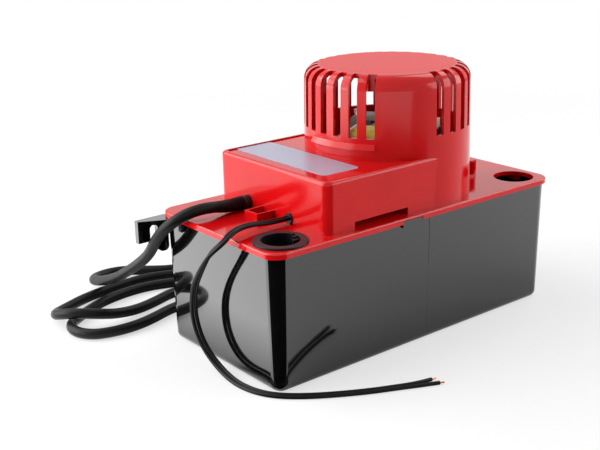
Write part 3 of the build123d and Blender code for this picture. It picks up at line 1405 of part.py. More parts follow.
SUPPLY_ROUTE = [
    (BOX_END_X - CORD_BUSH_PROUD, CORD_Y, CORD_Z),
    (-98.5, CORD_Y, CORD_Z),
    (-112.6, 24.3, 99.6),
    (-125.2, 26.4, 98.6),
    (-134.2, 32.0, 93.2),
    (-138.8, 40.2, 85.4),
    (-139.2, 50.2, 75.4),
    (-137.4, 61.5, 63.8),
    (-134.6, 79.0, 52.4),
    (-131.6, 101.0, 39.6),
    (-129.8, 124.0, 27.0),
    (-128.4, 144.0, 18.4),
    (-126.8, 160.5, 12.6),
    (-124.4, 174.4, 8.4),
    (-119.0, 184.0, 6.0),
    (-110.4, 190.2, 4.5),
    (-100.2, 192.2, 3.8),
    (-90.4, 189.2, 3.8),
    (-82.0, 182.4, 3.8),
    (-72.2, 173.8, 3.8),
    (-61.0, 165.4, 3.8),
    (-45.5, 160.4, 3.8),
    (-28.0, 160.5, 3.8),
    (-8.0, 163.0, 3.8),
    (16.0, 165.5, 3.8),
    (42.0, 165.0, 3.8),
    (68.0, 161.0, 3.8),
    (91.0, 153.0, 3.8),
    (110.0, 140.0, 3.8),
    (121.0, 121.0, 3.8),
    (122.0, 102.0, 3.8),
    (113.0, 86.0, 3.8),
    (97.0, 77.0, 3.8),
    (76.0, 73.5, 3.8),
    (50.0, 72.6, 3.8),
    (20.0, 72.3, 3.8),
    (-8.0, 73.5, 3.8),
    (-30.0, 78.0, 3.8),
    (-48.0, 85.0, 3.8),
    (-66.0, 93.0, 3.8),
    (-85.0, 97.2, 3.8),
    (-104.7, 95.0, 3.8),
    (-122.0, 88.8, 3.8),
    (-138.5, 85.2, 3.8),
    (-153.5, 85.8, 3.8),
    (-166.4, 89.6, 3.8),
    (-173.1, 96.1, 3.8),
    (-176.1, 103.9, 3.8),
    (-175.6, 112.0, 3.8),
    (-171.8, 119.2, 3.8),
    (-163.2, 125.6, 3.8),
    (-151.0, 132.8, 3.8),
    (-137.5, 140.0, 3.8),
    (-121.8, 144.2, 3.8),
    (-105.0, 146.0, 3.8),
    (-89.8, 144.6, 3.8),
    (-77.0, 139.6, 3.8),
    (-62.0, 134.8, 3.8),
    (-45.0, 134.2, 3.8),
    (-26.0, 136.5, 3.8),
    (-9.0, 138.6, 3.8),
    (6.0, 137.4, 3.8),
    (18.0, 131.4, 3.8),
    (26.0, 121.4, 3.8),
    (27.5, 109.0, 3.8),
    (22.0, 97.8, 3.8),
    (11.0, 90.6, 3.8),
    (-4.0, 88.8, 3.8),
    (-20.0, 93.0, 3.8),
    (-37.0, 103.2, 3.8),
    (-54.0, 114.0, 3.8),
    (-71.0, 121.0, 3.8),
    (-88.2, 121.0, 3.8),
    (-106.0, 114.4, 3.8),
    (-124.5, 109.0, 4.4),
    (-142.0, 106.4, 7.0),
    (-156.0, 106.8, 10.6),
    (-166.4, 110.6, 12.7),
    (-173.0, 116.2, 12.7),
    (-177.0, 123.4, 10.9),
    (-177.6, 131.4, 8.2),
    (-174.4, 138.6, 5.9),
    (-168.2, 144.2, 4.4),
    (-158.0, 149.6, 3.8),
    (-145.0, 155.0, 3.8),
    (-129.0, 159.0, 3.8),
    (-112.6, 161.4, 3.8),
    (-95.3, 162.6, 3.8),
    (-80.2, 160.6, 3.8),
    (-67.0, 155.4, 3.8),
    (-53.5, 150.2, 3.8),
    (-38.0, 147.6, 3.8),
    (-20.0, 148.6, 3.8),
    (-3.0, 150.4, 4.4),
    (13.0, 149.6, 6.6),
    (26.5, 144.2, 9.6),
    (37.7, 136.3, 11.0),
    (46.0, 130.0, 11.0),
]
LEAD_ROUTE_OUTER = [
    (BOX_END_X - LEAD_BUSH_PROUD, -21.0, LEAD_Z),
    (-95.0, -21.0, 96.0),
    (-106.0, -19.2, 97.1),
    (-117.1, -20.6, 98.0),
    (-127.7, -24.0, 97.4),
    (-135.6, -24.8, 92.5),
    (-140.6, -17.6, 84.9),
    (-142.2, -10.8, 76.5),
    (-142.0, -4.0, 68.3),
    (-141.2, 3.0, 59.3),
    (-139.5, 8.1, 49.5),
    (-138.1, 11.4, 38.4),
    (-136.9, 11.2, 27.4),
    (-135.7, 7.7, 17.7),
    (-134.7, 0.7, 9.5),
    (-134.1, -9.6, 3.8),
    (-134.7, -21.1, 1.3),
    (-135.8, -34.4, 1.3),
    (-133.2, -50.0, 1.3),
    (-125.5, -63.3, 1.3),
    (-111.5, -75.7, 1.3),
    (-96.0, -85.7, 1.3),
    (-79.5, -95.0, 1.3),
    (-62.9, -102.5, 1.3),
    (-49.0, -109.2, 1.3),
    (-38.5, -113.8, 1.3),
]
LEAD_ROUTE_INNER = [
    (BOX_END_X - LEAD_BUSH_PROUD, -18.2, LEAD_Z),
    (-95.0, -18.2, 96.0),
    (-106.0, -16.2, 97.1),
    (-117.9, -17.8, 98.0),
    (-128.3, -21.2, 97.0),
    (-134.8, -22.0, 92.3),
    (-138.6, -15.6, 85.5),
    (-139.4, -10.0, 77.1),
    (-139.0, -3.8, 68.5),
    (-138.2, 2.8, 59.5),
    (-136.5, 7.9, 49.7),
    (-135.1, 11.4, 38.8),
    (-133.9, 11.2, 27.8),
    (-132.7, 7.9, 17.9),
    (-131.7, 0.9, 9.7),
    (-131.1, -9.6, 3.8),
    (-131.7, -21.3, 1.3),
    (-132.8, -34.2, 1.3),
    (-130.4, -49.0, 1.3),
    (-123.3, -61.5, 1.3),
    (-109.7, -73.3, 1.3),
    (-94.4, -83.3, 1.3),
    (-78.1, -92.4, 1.3),
    (-61.7, -99.9, 1.3),
    (-49.5, -105.0, 1.3),
    (-39.0, -107.2, 1.3),
]


def plug_frame():
    """Place of the plug: its cord end, turned to lie along the cord's last run."""
    x, y, z = SUPPLY_ROUTE[-1]
    before_x, before_y, _ = SUPPLY_ROUTE[-2]
    return Pos(x, y, z) * Rot(0, 0, degrees(atan2(y - before_y, x - before_x)))


def make_plug():
    """Moulded three-pin plug body with a ribbed strain relief, lying on its side."""
    relief = Pos(PLUG_RELIEF_LENGTH / 2, 0, 0) * Rot(0, 90, 0)
    relief *= Cylinder(PLUG_RELIEF_RADIUS, PLUG_RELIEF_LENGTH)
    body = Pos(PLUG_RELIEF_LENGTH + PLUG_LENGTH / 2, 0, 0)
    body *= Box(PLUG_LENGTH, PLUG_WIDTH, PLUG_HEIGHT)
    body = fillet(body.edges().filter_by(lambda e: e.center().X < PLUG_RELIEF_LENGTH + 1), 5.0)
    return plug_frame() * (body + relief)


def make_plug_pins():
    """Two flat blades and a round earth pin."""
    face = PLUG_RELIEF_LENGTH + PLUG_LENGTH
    blade_y = -GROUND_PIN_OFFSET / 2 + 2.0
    pins = []
    for side in (-1, 1):
        middle = Pos(face + BLADE_LENGTH / 2, blade_y, side * BLADE_SPACING / 2)
        pins.append(plug_frame() * middle * Box(BLADE_LENGTH, BLADE_WIDTH, BLADE_THICKNESS))
    pin = Pos(face + GROUND_PIN_LENGTH / 2, blade_y + GROUND_PIN_OFFSET, 0) * Rot(0, 90, 0)
    pins.append(plug_frame() * pin * Cylinder(GROUND_PIN_RADIUS, GROUND_PIN_LENGTH))
    return Compound(children=pins)


def bare_tip(route):
    """Stripped conductor end beyond a lead's last point."""
    end = Vector(*route[-1])
    direction = (end - Vector(*route[-2])).normalized()
    plane = Plane(origin=end + direction * (BARE_TIP_LENGTH / 2), z_dir=direction)
    return plane * Cylinder(BARE_TIP_RADIUS, BARE_TIP_LENGTH)


save(cord_tube(SUPPLY_ROUTE, CORD_DIAMETER, "supply_cord"), "supply_cord")
save(cord_tube(LEAD_ROUTE_OUTER, LEAD_DIAMETER, "safety_lead_outer"), "safety_lead_outer")
save(cord_tube(LEAD_ROUTE_INNER, LEAD_DIAMETER, "safety_lead_inner"), "safety_lead_inner")
tips = [bare_tip(route) for route in (LEAD_ROUTE_OUTER, LEAD_ROUTE_INNER)]
save(Compound(children=tips), "lead_tips")
save(make_plug(), "supply_plug")
save(make_plug_pins(), "plug_pins")
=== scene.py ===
"""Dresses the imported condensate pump: finishes, cords, small trim, camera and studio."""

from __future__ import annotations

import json
import logging
import math
from dataclasses import dataclass, field
from enum import Enum
from typing import Iterable, Mapping, Sequence, Union

import bmesh
import bpy
from mathutils import Matrix, Vector

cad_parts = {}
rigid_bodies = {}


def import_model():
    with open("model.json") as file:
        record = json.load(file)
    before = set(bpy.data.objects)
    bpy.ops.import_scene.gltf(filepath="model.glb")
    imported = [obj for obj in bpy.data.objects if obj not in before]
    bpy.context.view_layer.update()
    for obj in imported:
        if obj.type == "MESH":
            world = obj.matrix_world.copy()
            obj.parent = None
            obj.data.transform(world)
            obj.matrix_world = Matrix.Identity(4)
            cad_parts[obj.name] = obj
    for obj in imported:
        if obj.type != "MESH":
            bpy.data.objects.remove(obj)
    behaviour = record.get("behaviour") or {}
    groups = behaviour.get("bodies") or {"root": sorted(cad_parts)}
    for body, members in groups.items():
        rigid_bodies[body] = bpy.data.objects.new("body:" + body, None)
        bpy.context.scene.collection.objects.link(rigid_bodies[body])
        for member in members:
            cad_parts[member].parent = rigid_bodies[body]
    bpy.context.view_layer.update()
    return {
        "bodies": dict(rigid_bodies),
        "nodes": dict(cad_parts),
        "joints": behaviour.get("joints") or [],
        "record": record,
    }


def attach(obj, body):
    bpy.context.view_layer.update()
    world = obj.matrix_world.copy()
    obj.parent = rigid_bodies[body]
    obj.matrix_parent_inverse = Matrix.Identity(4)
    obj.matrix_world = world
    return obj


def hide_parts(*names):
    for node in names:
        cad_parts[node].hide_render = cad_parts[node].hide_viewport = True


LOG = logging.getLogger("condensate_pump")
Point = tuple[float, float, float]
Colour = tuple[float, float, float]
MM = 0.001
SUPPLY_DIAMETER = 7.6 * MM
SUPPLY_LENGTH = 1.56
LEAD_DIAMETER = 2.6 * MM
OUTER_LEAD_LENGTH = 0.3235
INNER_LEAD_LENGTH = 0.3143

SUPPLY_ROUTE: tuple[Point, ...] = (
    (-0.0855, 0.0248, 0.0972),
    (-0.0985, 0.0248, 0.0972),
    (-0.1126, 0.0243, 0.0996),
    (-0.1252, 0.0264, 0.0986),
    (-0.1342, 0.032, 0.0932),
    (-0.1388, 0.0402, 0.0854),
    (-0.1392, 0.0502, 0.0754),
    (-0.1374, 0.0615, 0.0638),
    (-0.1346, 0.079, 0.0524),
    (-0.1316, 0.101, 0.0396),
    (-0.1298, 0.124, 0.027),
    (-0.1284, 0.144, 0.0184),
    (-0.1268, 0.1605, 0.0126),
    (-0.1244, 0.1744, 0.0084),
    (-0.119, 0.184, 0.006),
    (-0.1104, 0.1902, 0.0045),
    (-0.1002, 0.1922, 0.0038),
    (-0.0904, 0.1892, 0.0038),
    (-0.082, 0.1824, 0.0038),
    (-0.0722, 0.1738, 0.0038),
    (-0.061, 0.1654, 0.0038),
    (-0.0455, 0.1604, 0.0038),
    (-0.028, 0.1605, 0.0038),
    (-0.008, 0.163, 0.0038),
    (0.016, 0.1655, 0.0038),
    (0.042, 0.165, 0.0038),
    (0.068, 0.161, 0.0038),
    (0.091, 0.153, 0.0038),
    (0.11, 0.14, 0.0038),
    (0.121, 0.121, 0.0038),
    (0.122, 0.102, 0.0038),
    (0.113, 0.086, 0.0038),
    (0.097, 0.077, 0.0038),
    (0.076, 0.0735, 0.0038),
    (0.05, 0.0726, 0.0038),
    (0.02, 0.0723, 0.0038),
    (-0.008, 0.0735, 0.0038),
    (-0.03, 0.078, 0.0038),
    (-0.048, 0.085, 0.0038),
    (-0.066, 0.093, 0.0038),
    (-0.085, 0.0972, 0.0038),
    (-0.1047, 0.095, 0.0038),
    (-0.122, 0.0888, 0.0038),
    (-0.1385, 0.0852, 0.0038),
    (-0.1535, 0.0858, 0.0038),
    (-0.1664, 0.0896, 0.0038),
    (-0.1731, 0.0961, 0.0038),
    (-0.1761, 0.1039, 0.0038),
    (-0.1756, 0.112, 0.0038),
    (-0.1718, 0.1192, 0.0038),
    (-0.1632, 0.1256, 0.0038),
    (-0.151, 0.1328, 0.0038),
    (-0.1375, 0.14, 0.0038),
    (-0.1218, 0.1442, 0.0038),
    (-0.105, 0.146, 0.0038),
    (-0.0898, 0.1446, 0.0038),
    (-0.077, 0.1396, 0.0038),
    (-0.062, 0.1348, 0.0038),
    (-0.045, 0.1342, 0.0038),
    (-0.026, 0.1365, 0.0038),
    (-0.009, 0.1386, 0.0038),
    (0.006, 0.1374, 0.0038),
    (0.018, 0.1314, 0.0038),
    (0.026, 0.1214, 0.0038),
    (0.0275, 0.109, 0.0038),
    (0.022, 0.0978, 0.0038),
    (0.011, 0.0906, 0.0038),
    (-0.004, 0.0888, 0.0038),
    (-0.02, 0.093, 0.0038),
    (-0.037, 0.1032, 0.0038),
    (-0.054, 0.114, 0.0038),
    (-0.071, 0.121, 0.0038),
    (-0.0882, 0.121, 0.0038),
    (-0.106, 0.1144, 0.0038),
    (-0.1245, 0.109, 0.0044),
    (-0.142, 0.1064, 0.007),
    (-0.156, 0.1068, 0.0106),
    (-0.1664, 0.1106, 0.0127),
    (-0.173, 0.1162, 0.0127),
    (-0.177, 0.1234, 0.0109),
    (-0.1776, 0.1314, 0.0082),
    (-0.1744, 0.1386, 0.0059),
    (-0.1682, 0.1442, 0.0044),
    (-0.158, 0.1496, 0.0038),
    (-0.145, 0.155, 0.0038),
    (-0.129, 0.159, 0.0038),
    (-0.1126, 0.1614, 0.0038),
    (-0.0953, 0.1626, 0.0038),
    (-0.0802, 0.1606, 0.0038),
    (-0.067, 0.1554, 0.0038),
    (-0.0535, 0.1502, 0.0038),
    (-0.038, 0.1476, 0.0038),
    (-0.02, 0.1486, 0.0038),
    (-0.003, 0.1504, 0.0044),
    (0.013, 0.1496, 0.0066),
    (0.0265, 0.1442, 0.0096),
    (0.0377, 0.1363, 0.011),
    (0.046, 0.13, 0.011),
)
OUTER_LEAD_ROUTE: tuple[Point, ...] = (
    (-0.0815, -0.021, 0.096),
    (-0.095, -0.021, 0.096),
    (-0.106, -0.0192, 0.0971),
    (-0.1171, -0.0206, 0.098),
    (-0.1277, -0.024, 0.0974),
    (-0.1356, -0.0248, 0.0925),
    (-0.1406, -0.0176, 0.0849),
    (-0.1422, -0.0108, 0.0765),
    (-0.142, -0.004, 0.0683),
    (-0.1412, 0.003, 0.0593),
    (-0.1395, 0.0081, 0.0495),
    (-0.1381, 0.0114, 0.0384),
    (-0.1369, 0.0112, 0.0274),
    (-0.1357, 0.0077, 0.0177),
    (-0.1347, 0.0007, 0.0095),
    (-0.1341, -0.0096, 0.0038),
    (-0.1347, -0.0211, 0.0013),
    (-0.1358, -0.0344, 0.0013),
    (-0.1332, -0.05, 0.0013),
    (-0.1255, -0.0633, 0.0013),
    (-0.1115, -0.0757, 0.0013),
    (-0.096, -0.0857, 0.0013),
    (-0.0795, -0.095, 0.0013),
    (-0.0629, -0.1025, 0.0013),
    (-0.049, -0.1092, 0.0013),
    (-0.0385, -0.1138, 0.0013),
)
INNER_LEAD_ROUTE: tuple[Point, ...] = (
    (-0.0815, -0.0182, 0.096),
    (-0.095, -0.0182, 0.096),
    (-0.106, -0.0162, 0.0971),
    (-0.1179, -0.0178, 0.098),
    (-0.1283, -0.0212, 0.097),
    (-0.1348, -0.022, 0.0923),
    (-0.1386, -0.0156, 0.0855),
    (-0.1394, -0.01, 0.0771),
    (-0.139, -0.0038, 0.0685),
    (-0.1382, 0.0028, 0.0595),
    (-0.1365, 0.0079, 0.0497),
    (-0.1351, 0.0114, 0.0388),
    (-0.1339, 0.0112, 0.0278),
    (-0.1327, 0.0079, 0.0179),
    (-0.1317, 0.0009, 0.0097),
    (-0.1311, -0.0096, 0.0038),
    (-0.1317, -0.0213, 0.0013),
    (-0.1328, -0.0342, 0.0013),
    (-0.1304, -0.049, 0.0013),
    (-0.1233, -0.0615, 0.0013),
    (-0.1097, -0.0733, 0.0013),
    (-0.0944, -0.0833, 0.0013),
    (-0.0781, -0.0924, 0.0013),
    (-0.0617, -0.0999, 0.0013),
    (-0.0495, -0.105, 0.0013),
    (-0.039, -0.1072, 0.0013),
)


def linear(red: int, green: int, blue: int) -> Colour:
    """Turn a screen colour into the linear one that shaders take.

    Args:
        red: Red, from 0 to 255.
        green: Green, from 0 to 255.
        blue: Blue, from 0 to 255.

    Returns:
        The linear colour.
    """

    def one(channel: int) -> float:
        """Linearise one channel."""
        share = channel / 255
        return share / 12.92 if share <= 0.04045 else ((share + 0.055) / 1.055) ** 2.4

    return (one(red), one(green), one(blue))


# ---------------------------------------------------------------- shader graph
class Level:
    """A number socket that takes part in Python arithmetic."""

    def __init__(self, graph: "Graph", socket: bpy.types.NodeSocket) -> None:
        """Wrap an output socket.

        Args:
            graph: The graph that owns the socket.
            socket: The output socket.
        """
        self.graph = graph
        self.socket = socket

    def _maths(self, operation: str, first: "Term", second: "Term") -> "Level":
        """Add one Math node.

        Args:
            operation: The node's operation.
            first: First operand.
            second: Second operand.

        Returns:
            The node's result.
        """
        node = self.graph.node("ShaderNodeMath", {"operation": operation}, {0: first, 1: second})
        return Level(self.graph, node.outputs[0])

    def __add__(self, other: "Term") -> "Level":
        """Sum."""
        return self._maths("ADD", self, other)

    def __radd__(self, other: "Term") -> "Level":
        """Sum with a number on the left."""
        return self._maths("ADD", other, self)

    def __sub__(self, other: "Term") -> "Level":
        """Difference."""
        return self._maths("SUBTRACT", self, other)

    def __rsub__(self, other: "Term") -> "Level":
        """Difference with a number on the left."""
        return self._maths("SUBTRACT", other, self)

    def __mul__(self, other: "Term") -> "Level":
        """Product."""
        return self._maths("MULTIPLY", self, other)

    def __rmul__(self, other: "Term") -> "Level":
        """Product with a number on the left."""
        return self._maths("MULTIPLY", other, self)

    def __truediv__(self, other: "Term") -> "Level":
        """Quotient."""
        return self._maths("DIVIDE", self, other)

    def __pow__(self, other: "Term") -> "Level":
        """Power."""
        return self._maths("POWER", self, other)

    def __gt__(self, other: "Term") -> "Level":
        """One where this is greater, else zero."""
        return self._maths("GREATER_THAN", self, other)

    def __lt__(self, other: "Term") -> "Level":
        """One where this is less, else zero."""
        return self._maths("LESS_THAN", self, other)

    def clamped(self) -> "Level":
        """Limit to the range from zero to one."""
        node = self.graph.node("ShaderNodeClamp", {}, {"Value": self, "Min": 0.0, "Max": 1.0})
        return Level(self.graph, node.outputs[0])


Term = Union[Level, float, int, bpy.types.NodeSocket]


class Graph:
    """One material, or the world, and its nodes."""

    def __init__(self, name: str, store: object = None) -> None:
        """Start an empty material, or an empty world.

        Args:
            name: The name.
            store: Where it is kept, which is Blender's materials if left out.
        """
        self.material = (bpy.data.materials if store is None else store).new(name)
        self.material.use_nodes = True
        self.tree = self.material.node_tree
        self.tree.nodes.clear()

    def node(
        self,
        kind: str,
        settings: Mapping[str, object] | None = None,
        sockets: Mapping[str | int, object] | None = None,
    ) -> bpy.types.Node:
        """Add one node, set it up and fill its sockets.

        Args:
            kind: Blender's name of the node type.
            settings: Attributes that are set before the sockets.
            sockets: Values or links by socket name or number.

        Returns:
            The new node.
        """
        made = self.tree.nodes.new(kind)
        for key, value in (settings or {}).items():
            setattr(made, key, value)
        for key, value in (sockets or {}).items():
            socket = made.inputs[key]
            if isinstance(value, Level):
                value = value.socket
            if isinstance(value, bpy.types.NodeSocket):
                self.tree.links.new(value, socket)
            elif isinstance(value, tuple) and len(value) == 3 and socket.type == "RGBA":
                socket.default_value = (*value, 1.0)
            else:
                socket.default_value = value
        return made

    def place(self) -> bpy.types.NodeSocket:
        """Return the surface's place in the part's own frame, in metres."""
        return self.node("ShaderNodeTexCoord").outputs["Object"]

    def axes(self) -> tuple[Level, Level, Level]:
        """Split the surface's place into its three coordinates.

        Returns:
            The x, y and z levels, in metres.
        """
        split = self.node("ShaderNodeSeparateXYZ", {}, {0: self.place()})
        return tuple(Level(self, split.outputs[index]) for index in range(3))

    def noise(self, scale: float, detail: float = 2.0, stretch: Point = (1.0, 1.0, 1.0)) -> Level:
        """Add a noise over the surface's place.

        Args:
            scale: Size of the noise, in features per metre.
            detail: How many finer layers it has.
            stretch: Scale along each axis.

        Returns:
            The noise level.
        """
        mapped = self.node("ShaderNodeMapping", {}, {"Vector": self.place(), "Scale": stretch})
        made = self.node(
            "ShaderNodeTexNoise",
            {},
            {"Vector": mapped.outputs[0], "Scale": scale, "Detail": detail},
        )
        return Level(self, made.outputs[0])

    def mix(
        self, factor: Term, first: Term | Colour, second: Term | Colour
    ) -> bpy.types.NodeSocket:
        """Mix two colours.

        Args:
            factor: Share of the second colour.
            first: First colour.
            second: Second colour.

        Returns:
            The mixed colour.
        """
        made = self.node("ShaderNodeMix", {"data_type": "RGBA"}, {0: factor, 6: first, 7: second})
        return made.outputs[2]

    def bump(self, height: Term, strength: float, distance: float) -> bpy.types.NodeSocket:
        """Turn a height into a bumped normal.

        Args:
            height: The height level.
            strength: Share of the bump that shows.
            distance: Depth of the bump, in metres.

        Returns:
            The normal.
        """
        made = self.node(
            "ShaderNodeBump", {}, {"Height": height, "Strength": strength, "Distance": distance}
        )
        return made.outputs[0]

    def surface(self, sockets: Mapping[str | int, object]) -> bpy.types.Material:
        """Close the material with a Principled shader.

        Args:
            sockets: The shader's values and links.

        Returns:
            The finished material.
        """
        shader = self.node("ShaderNodeBsdfPrincipled", {}, sockets)
        self.node("ShaderNodeOutputMaterial", {}, {"Surface": shader.outputs[0]})
        return self.material


# ---------------------------------------------------------------- finishes
@dataclass(frozen=True)
class Moulding:
    """Injection-moulded plastic with a fine skin, soft sink marks and a little dust."""

    name: str
    colour: Colour
    shade: Colour
    roughness: float = 0.16
    roughness_spread: float = 0.08
    skin_scale: float = 900.0
    skin_depth: float = 0.000012
    wave_depth: float = 0.00005
    shine: float = 0.5
    coat: float = 0.0
    coat_roughness: float = 0.04
    cloud_scale: float = 28.0
    wave_scale: float = 16.0
    bump_share: float = 0.6

    def build(self) -> bpy.types.Material:
        """Build the material.

        Returns:
            The finished material.
        """
        graph = Graph(self.name)
        cloud = graph.noise(self.cloud_scale, 3.0)
        skin = graph.noise(self.skin_scale, 2.0)
        waves = graph.noise(self.wave_scale, 1.0)
        colour = graph.mix((cloud * 1.6 - 0.3).clamped(), self.shade, self.colour)
        rough = self.roughness + (cloud - 0.5) * self.roughness_spread + (skin - 0.5) * 0.05
        height = skin * (self.skin_depth / self.wave_depth) + waves
        return graph.surface(
            {
                "Base Color": colour,
                "Roughness": rough,
                "Normal": graph.bump(height, self.bump_share, self.wave_depth),
                "Specular IOR Level": self.shine,
                "Coat Weight": self.coat,
                "Coat Roughness": self.coat_roughness,
            }
        )


@dataclass(frozen=True)
class CoverMoulding(Moulding):
    """Red moulding whose roof disc has a finer, duller texture."""

    roof_height: float = 0.1796
    roof_radius: float = 0.047
    roof_centre: float = 0.0228
    grain_scale: float = 2600.0
    wave_scale: float = 14.0

    def build(self) -> bpy.types.Material:
        """Build the material.

        Returns:
            The finished material.
        """
        graph = Graph(self.name)
        cloud = graph.noise(self.cloud_scale, 3.0)
        skin = graph.noise(self.skin_scale, 2.0)
        waves = graph.noise(self.wave_scale, 1.0)
        grain = graph.noise(self.grain_scale, 2.0)
        x, y, z = graph.axes()
        reach = ((x - self.roof_centre) ** 2 + y * y) ** 0.5
        roof = (z > self.roof_height) * (reach < self.roof_radius)
        colour = graph.mix((cloud * 1.6 - 0.3).clamped(), self.shade, self.colour)
        plain = self.roughness + (cloud - 0.5) * self.roughness_spread
        rough = plain + roof * (0.26 + (grain - 0.5) * 0.1)
        height = waves + skin * 0.2 + roof * grain * 0.9
        return graph.surface(
            {
                "Base Color": colour,
                "Roughness": rough,
                "Normal": graph.bump(height, self.bump_share, self.wave_depth),
                "Specular IOR Level": self.shine,
                "Coat Weight": self.coat,
                "Coat Roughness": self.coat_roughness,
            }
        )


@dataclass(frozen=True)
class Rubber:
    """Soft rubber or vinyl with a fine matt skin and lines of wear."""

    name: str
    colour: Colour
    worn: Colour
    roughness: float = 0.42
    skin_scale: float = 1400.0
    skin_depth: float = 0.00004
    shine: float = 0.14
    cloud_scale: float = 60.0

    def build(self) -> bpy.types.Material:
        """Build the material.

        Returns:
            The finished material.
        """
        graph = Graph(self.name)
        cloud = graph.noise(self.cloud_scale, 4.0)
        skin = graph.noise(self.skin_scale, 3.0)
        colour = graph.mix((cloud * 2.2 - 0.7).clamped(), self.colour, self.worn)
        rough = self.roughness + (cloud - 0.5) * 0.16
        return graph.surface(
            {
                "Base Color": colour,
                "Roughness": rough,
                "Normal": graph.bump(skin, 0.5, self.skin_depth),
                "Specular IOR Level": self.shine,
            }
        )


@dataclass(frozen=True)
class SatinFilm:
    """Printed-label stock left blank: satin film with a faint brushed sheen."""

    name: str
    colour: Colour
    shade: Colour
    roughness: float = 0.34
    brush_scale: float = 700.0
    brush_stretch: Point = (6.0, 0.25, 1.0)
    brush_depth: float = 0.00002
    cloud_scale: float = 40.0
    metal_share: float = 0.35

    def build(self) -> bpy.types.Material:
        """Build the material.

        Returns:
            The finished material.
        """
        graph = Graph(self.name)
        brushed = graph.noise(self.brush_scale, 3.0, self.brush_stretch)
        cloud = graph.noise(self.cloud_scale, 2.0)
        colour = graph.mix((brushed * 0.6 + cloud * 0.6 - 0.1).clamped(), self.shade, self.colour)
        rough = self.roughness + (brushed - 0.5) * 0.2
        return graph.surface(
            {
                "Base Color": colour,
                "Roughness": rough,
                "Metallic": self.metal_share,
                "Normal": graph.bump(brushed, 0.3, self.brush_depth),
            }
        )


@dataclass(frozen=True)
class Metal:
    """Plated, cast or drawn metal with a little tarnish."""

    name: str
    colour: Colour
    tarnish: Colour
    roughness: float = 0.32
    grain_scale: float = 600.0
    grain_depth: float = 0.00003
    stretch: Point = (1.0, 1.0, 1.0)
    cloud_scale: float = 90.0

    def build(self) -> bpy.types.Material:
        """Build the material.

        Returns:
            The finished material.
        """
        graph = Graph(self.name)
        grain = graph.noise(self.grain_scale, 3.0, self.stretch)
        cloud = graph.noise(self.cloud_scale, 4.0)
        stain = (cloud * 2.4 - 0.9).clamped()
        colour = graph.mix(stain, self.colour, self.tarnish)
        rough = self.roughness + (grain - 0.5) * 0.18 + stain * 0.12
        return graph.surface(
            {
                "Base Color": colour,
                "Roughness": rough,
                "Metallic": 1.0,
                "Normal": graph.bump(grain, 0.5, self.grain_depth),
            }
        )


@dataclass(frozen=True)
class Laminations:
    """Stacked steel sheets: fine level lines with oxide between them."""

    name: str
    colour: Colour
    oxide: Colour
    pitch: float = 0.00065
    depth: float = 0.00012
    cloud_scale: float = 130.0
    metal_share: float = 0.85

    def build(self) -> bpy.types.Material:
        """Build the material.

        Returns:
            The finished material.
        """
        graph = Graph(self.name)
        _, _, z = graph.axes()
        turns = z * (2 * math.pi / self.pitch)
        wave = graph.node("ShaderNodeMath", {"operation": "SINE"}, {0: turns})
        lines = Level(graph, wave.outputs[0]) * 0.5 + 0.5
        cloud = graph.noise(self.cloud_scale, 4.0)
        colour = graph.mix((lines * 0.5 + cloud * 0.8 - 0.2).clamped(), self.oxide, self.colour)
        return graph.surface(
            {
                "Base Color": colour,
                "Roughness": 0.42 + (cloud - 0.5) * 0.2,
                "Metallic": self.metal_share,
                "Normal": graph.bump(lines, 0.7, self.depth),
            }
        )


@dataclass(frozen=True)
class Tape:
    """Insulating tape wound round the coil, with lapped edges."""

    name: str
    colour: Colour
    shade: Colour
    lap: float = 0.006
    turn: float = math.radians(30)
    cloud_scale: float = 220.0
    depth: float = 0.0003

    def build(self) -> bpy.types.Material:
        """Build the material.

        Returns:
            The finished material.
        """
        graph = Graph(self.name)
        x, y, _ = graph.axes()
        along = x * -math.sin(self.turn) + y * math.cos(self.turn)
        lapped = graph.node("ShaderNodeMath", {"operation": "PINGPONG"}, {0: along, 1: self.lap})
        laps = Level(graph, lapped.outputs[0]) / self.lap
        cloud = graph.noise(self.cloud_scale, 3.0)
        colour = graph.mix((laps * 0.5 + cloud * 0.6 - 0.1).clamped(), self.shade, self.colour)
        return graph.surface(
            {
                "Base Color": colour,
                "Roughness": 0.36 + (cloud - 0.5) * 0.2,
                "Normal": graph.bump(laps + cloud * 0.2, 0.6, self.depth),
            }
        )


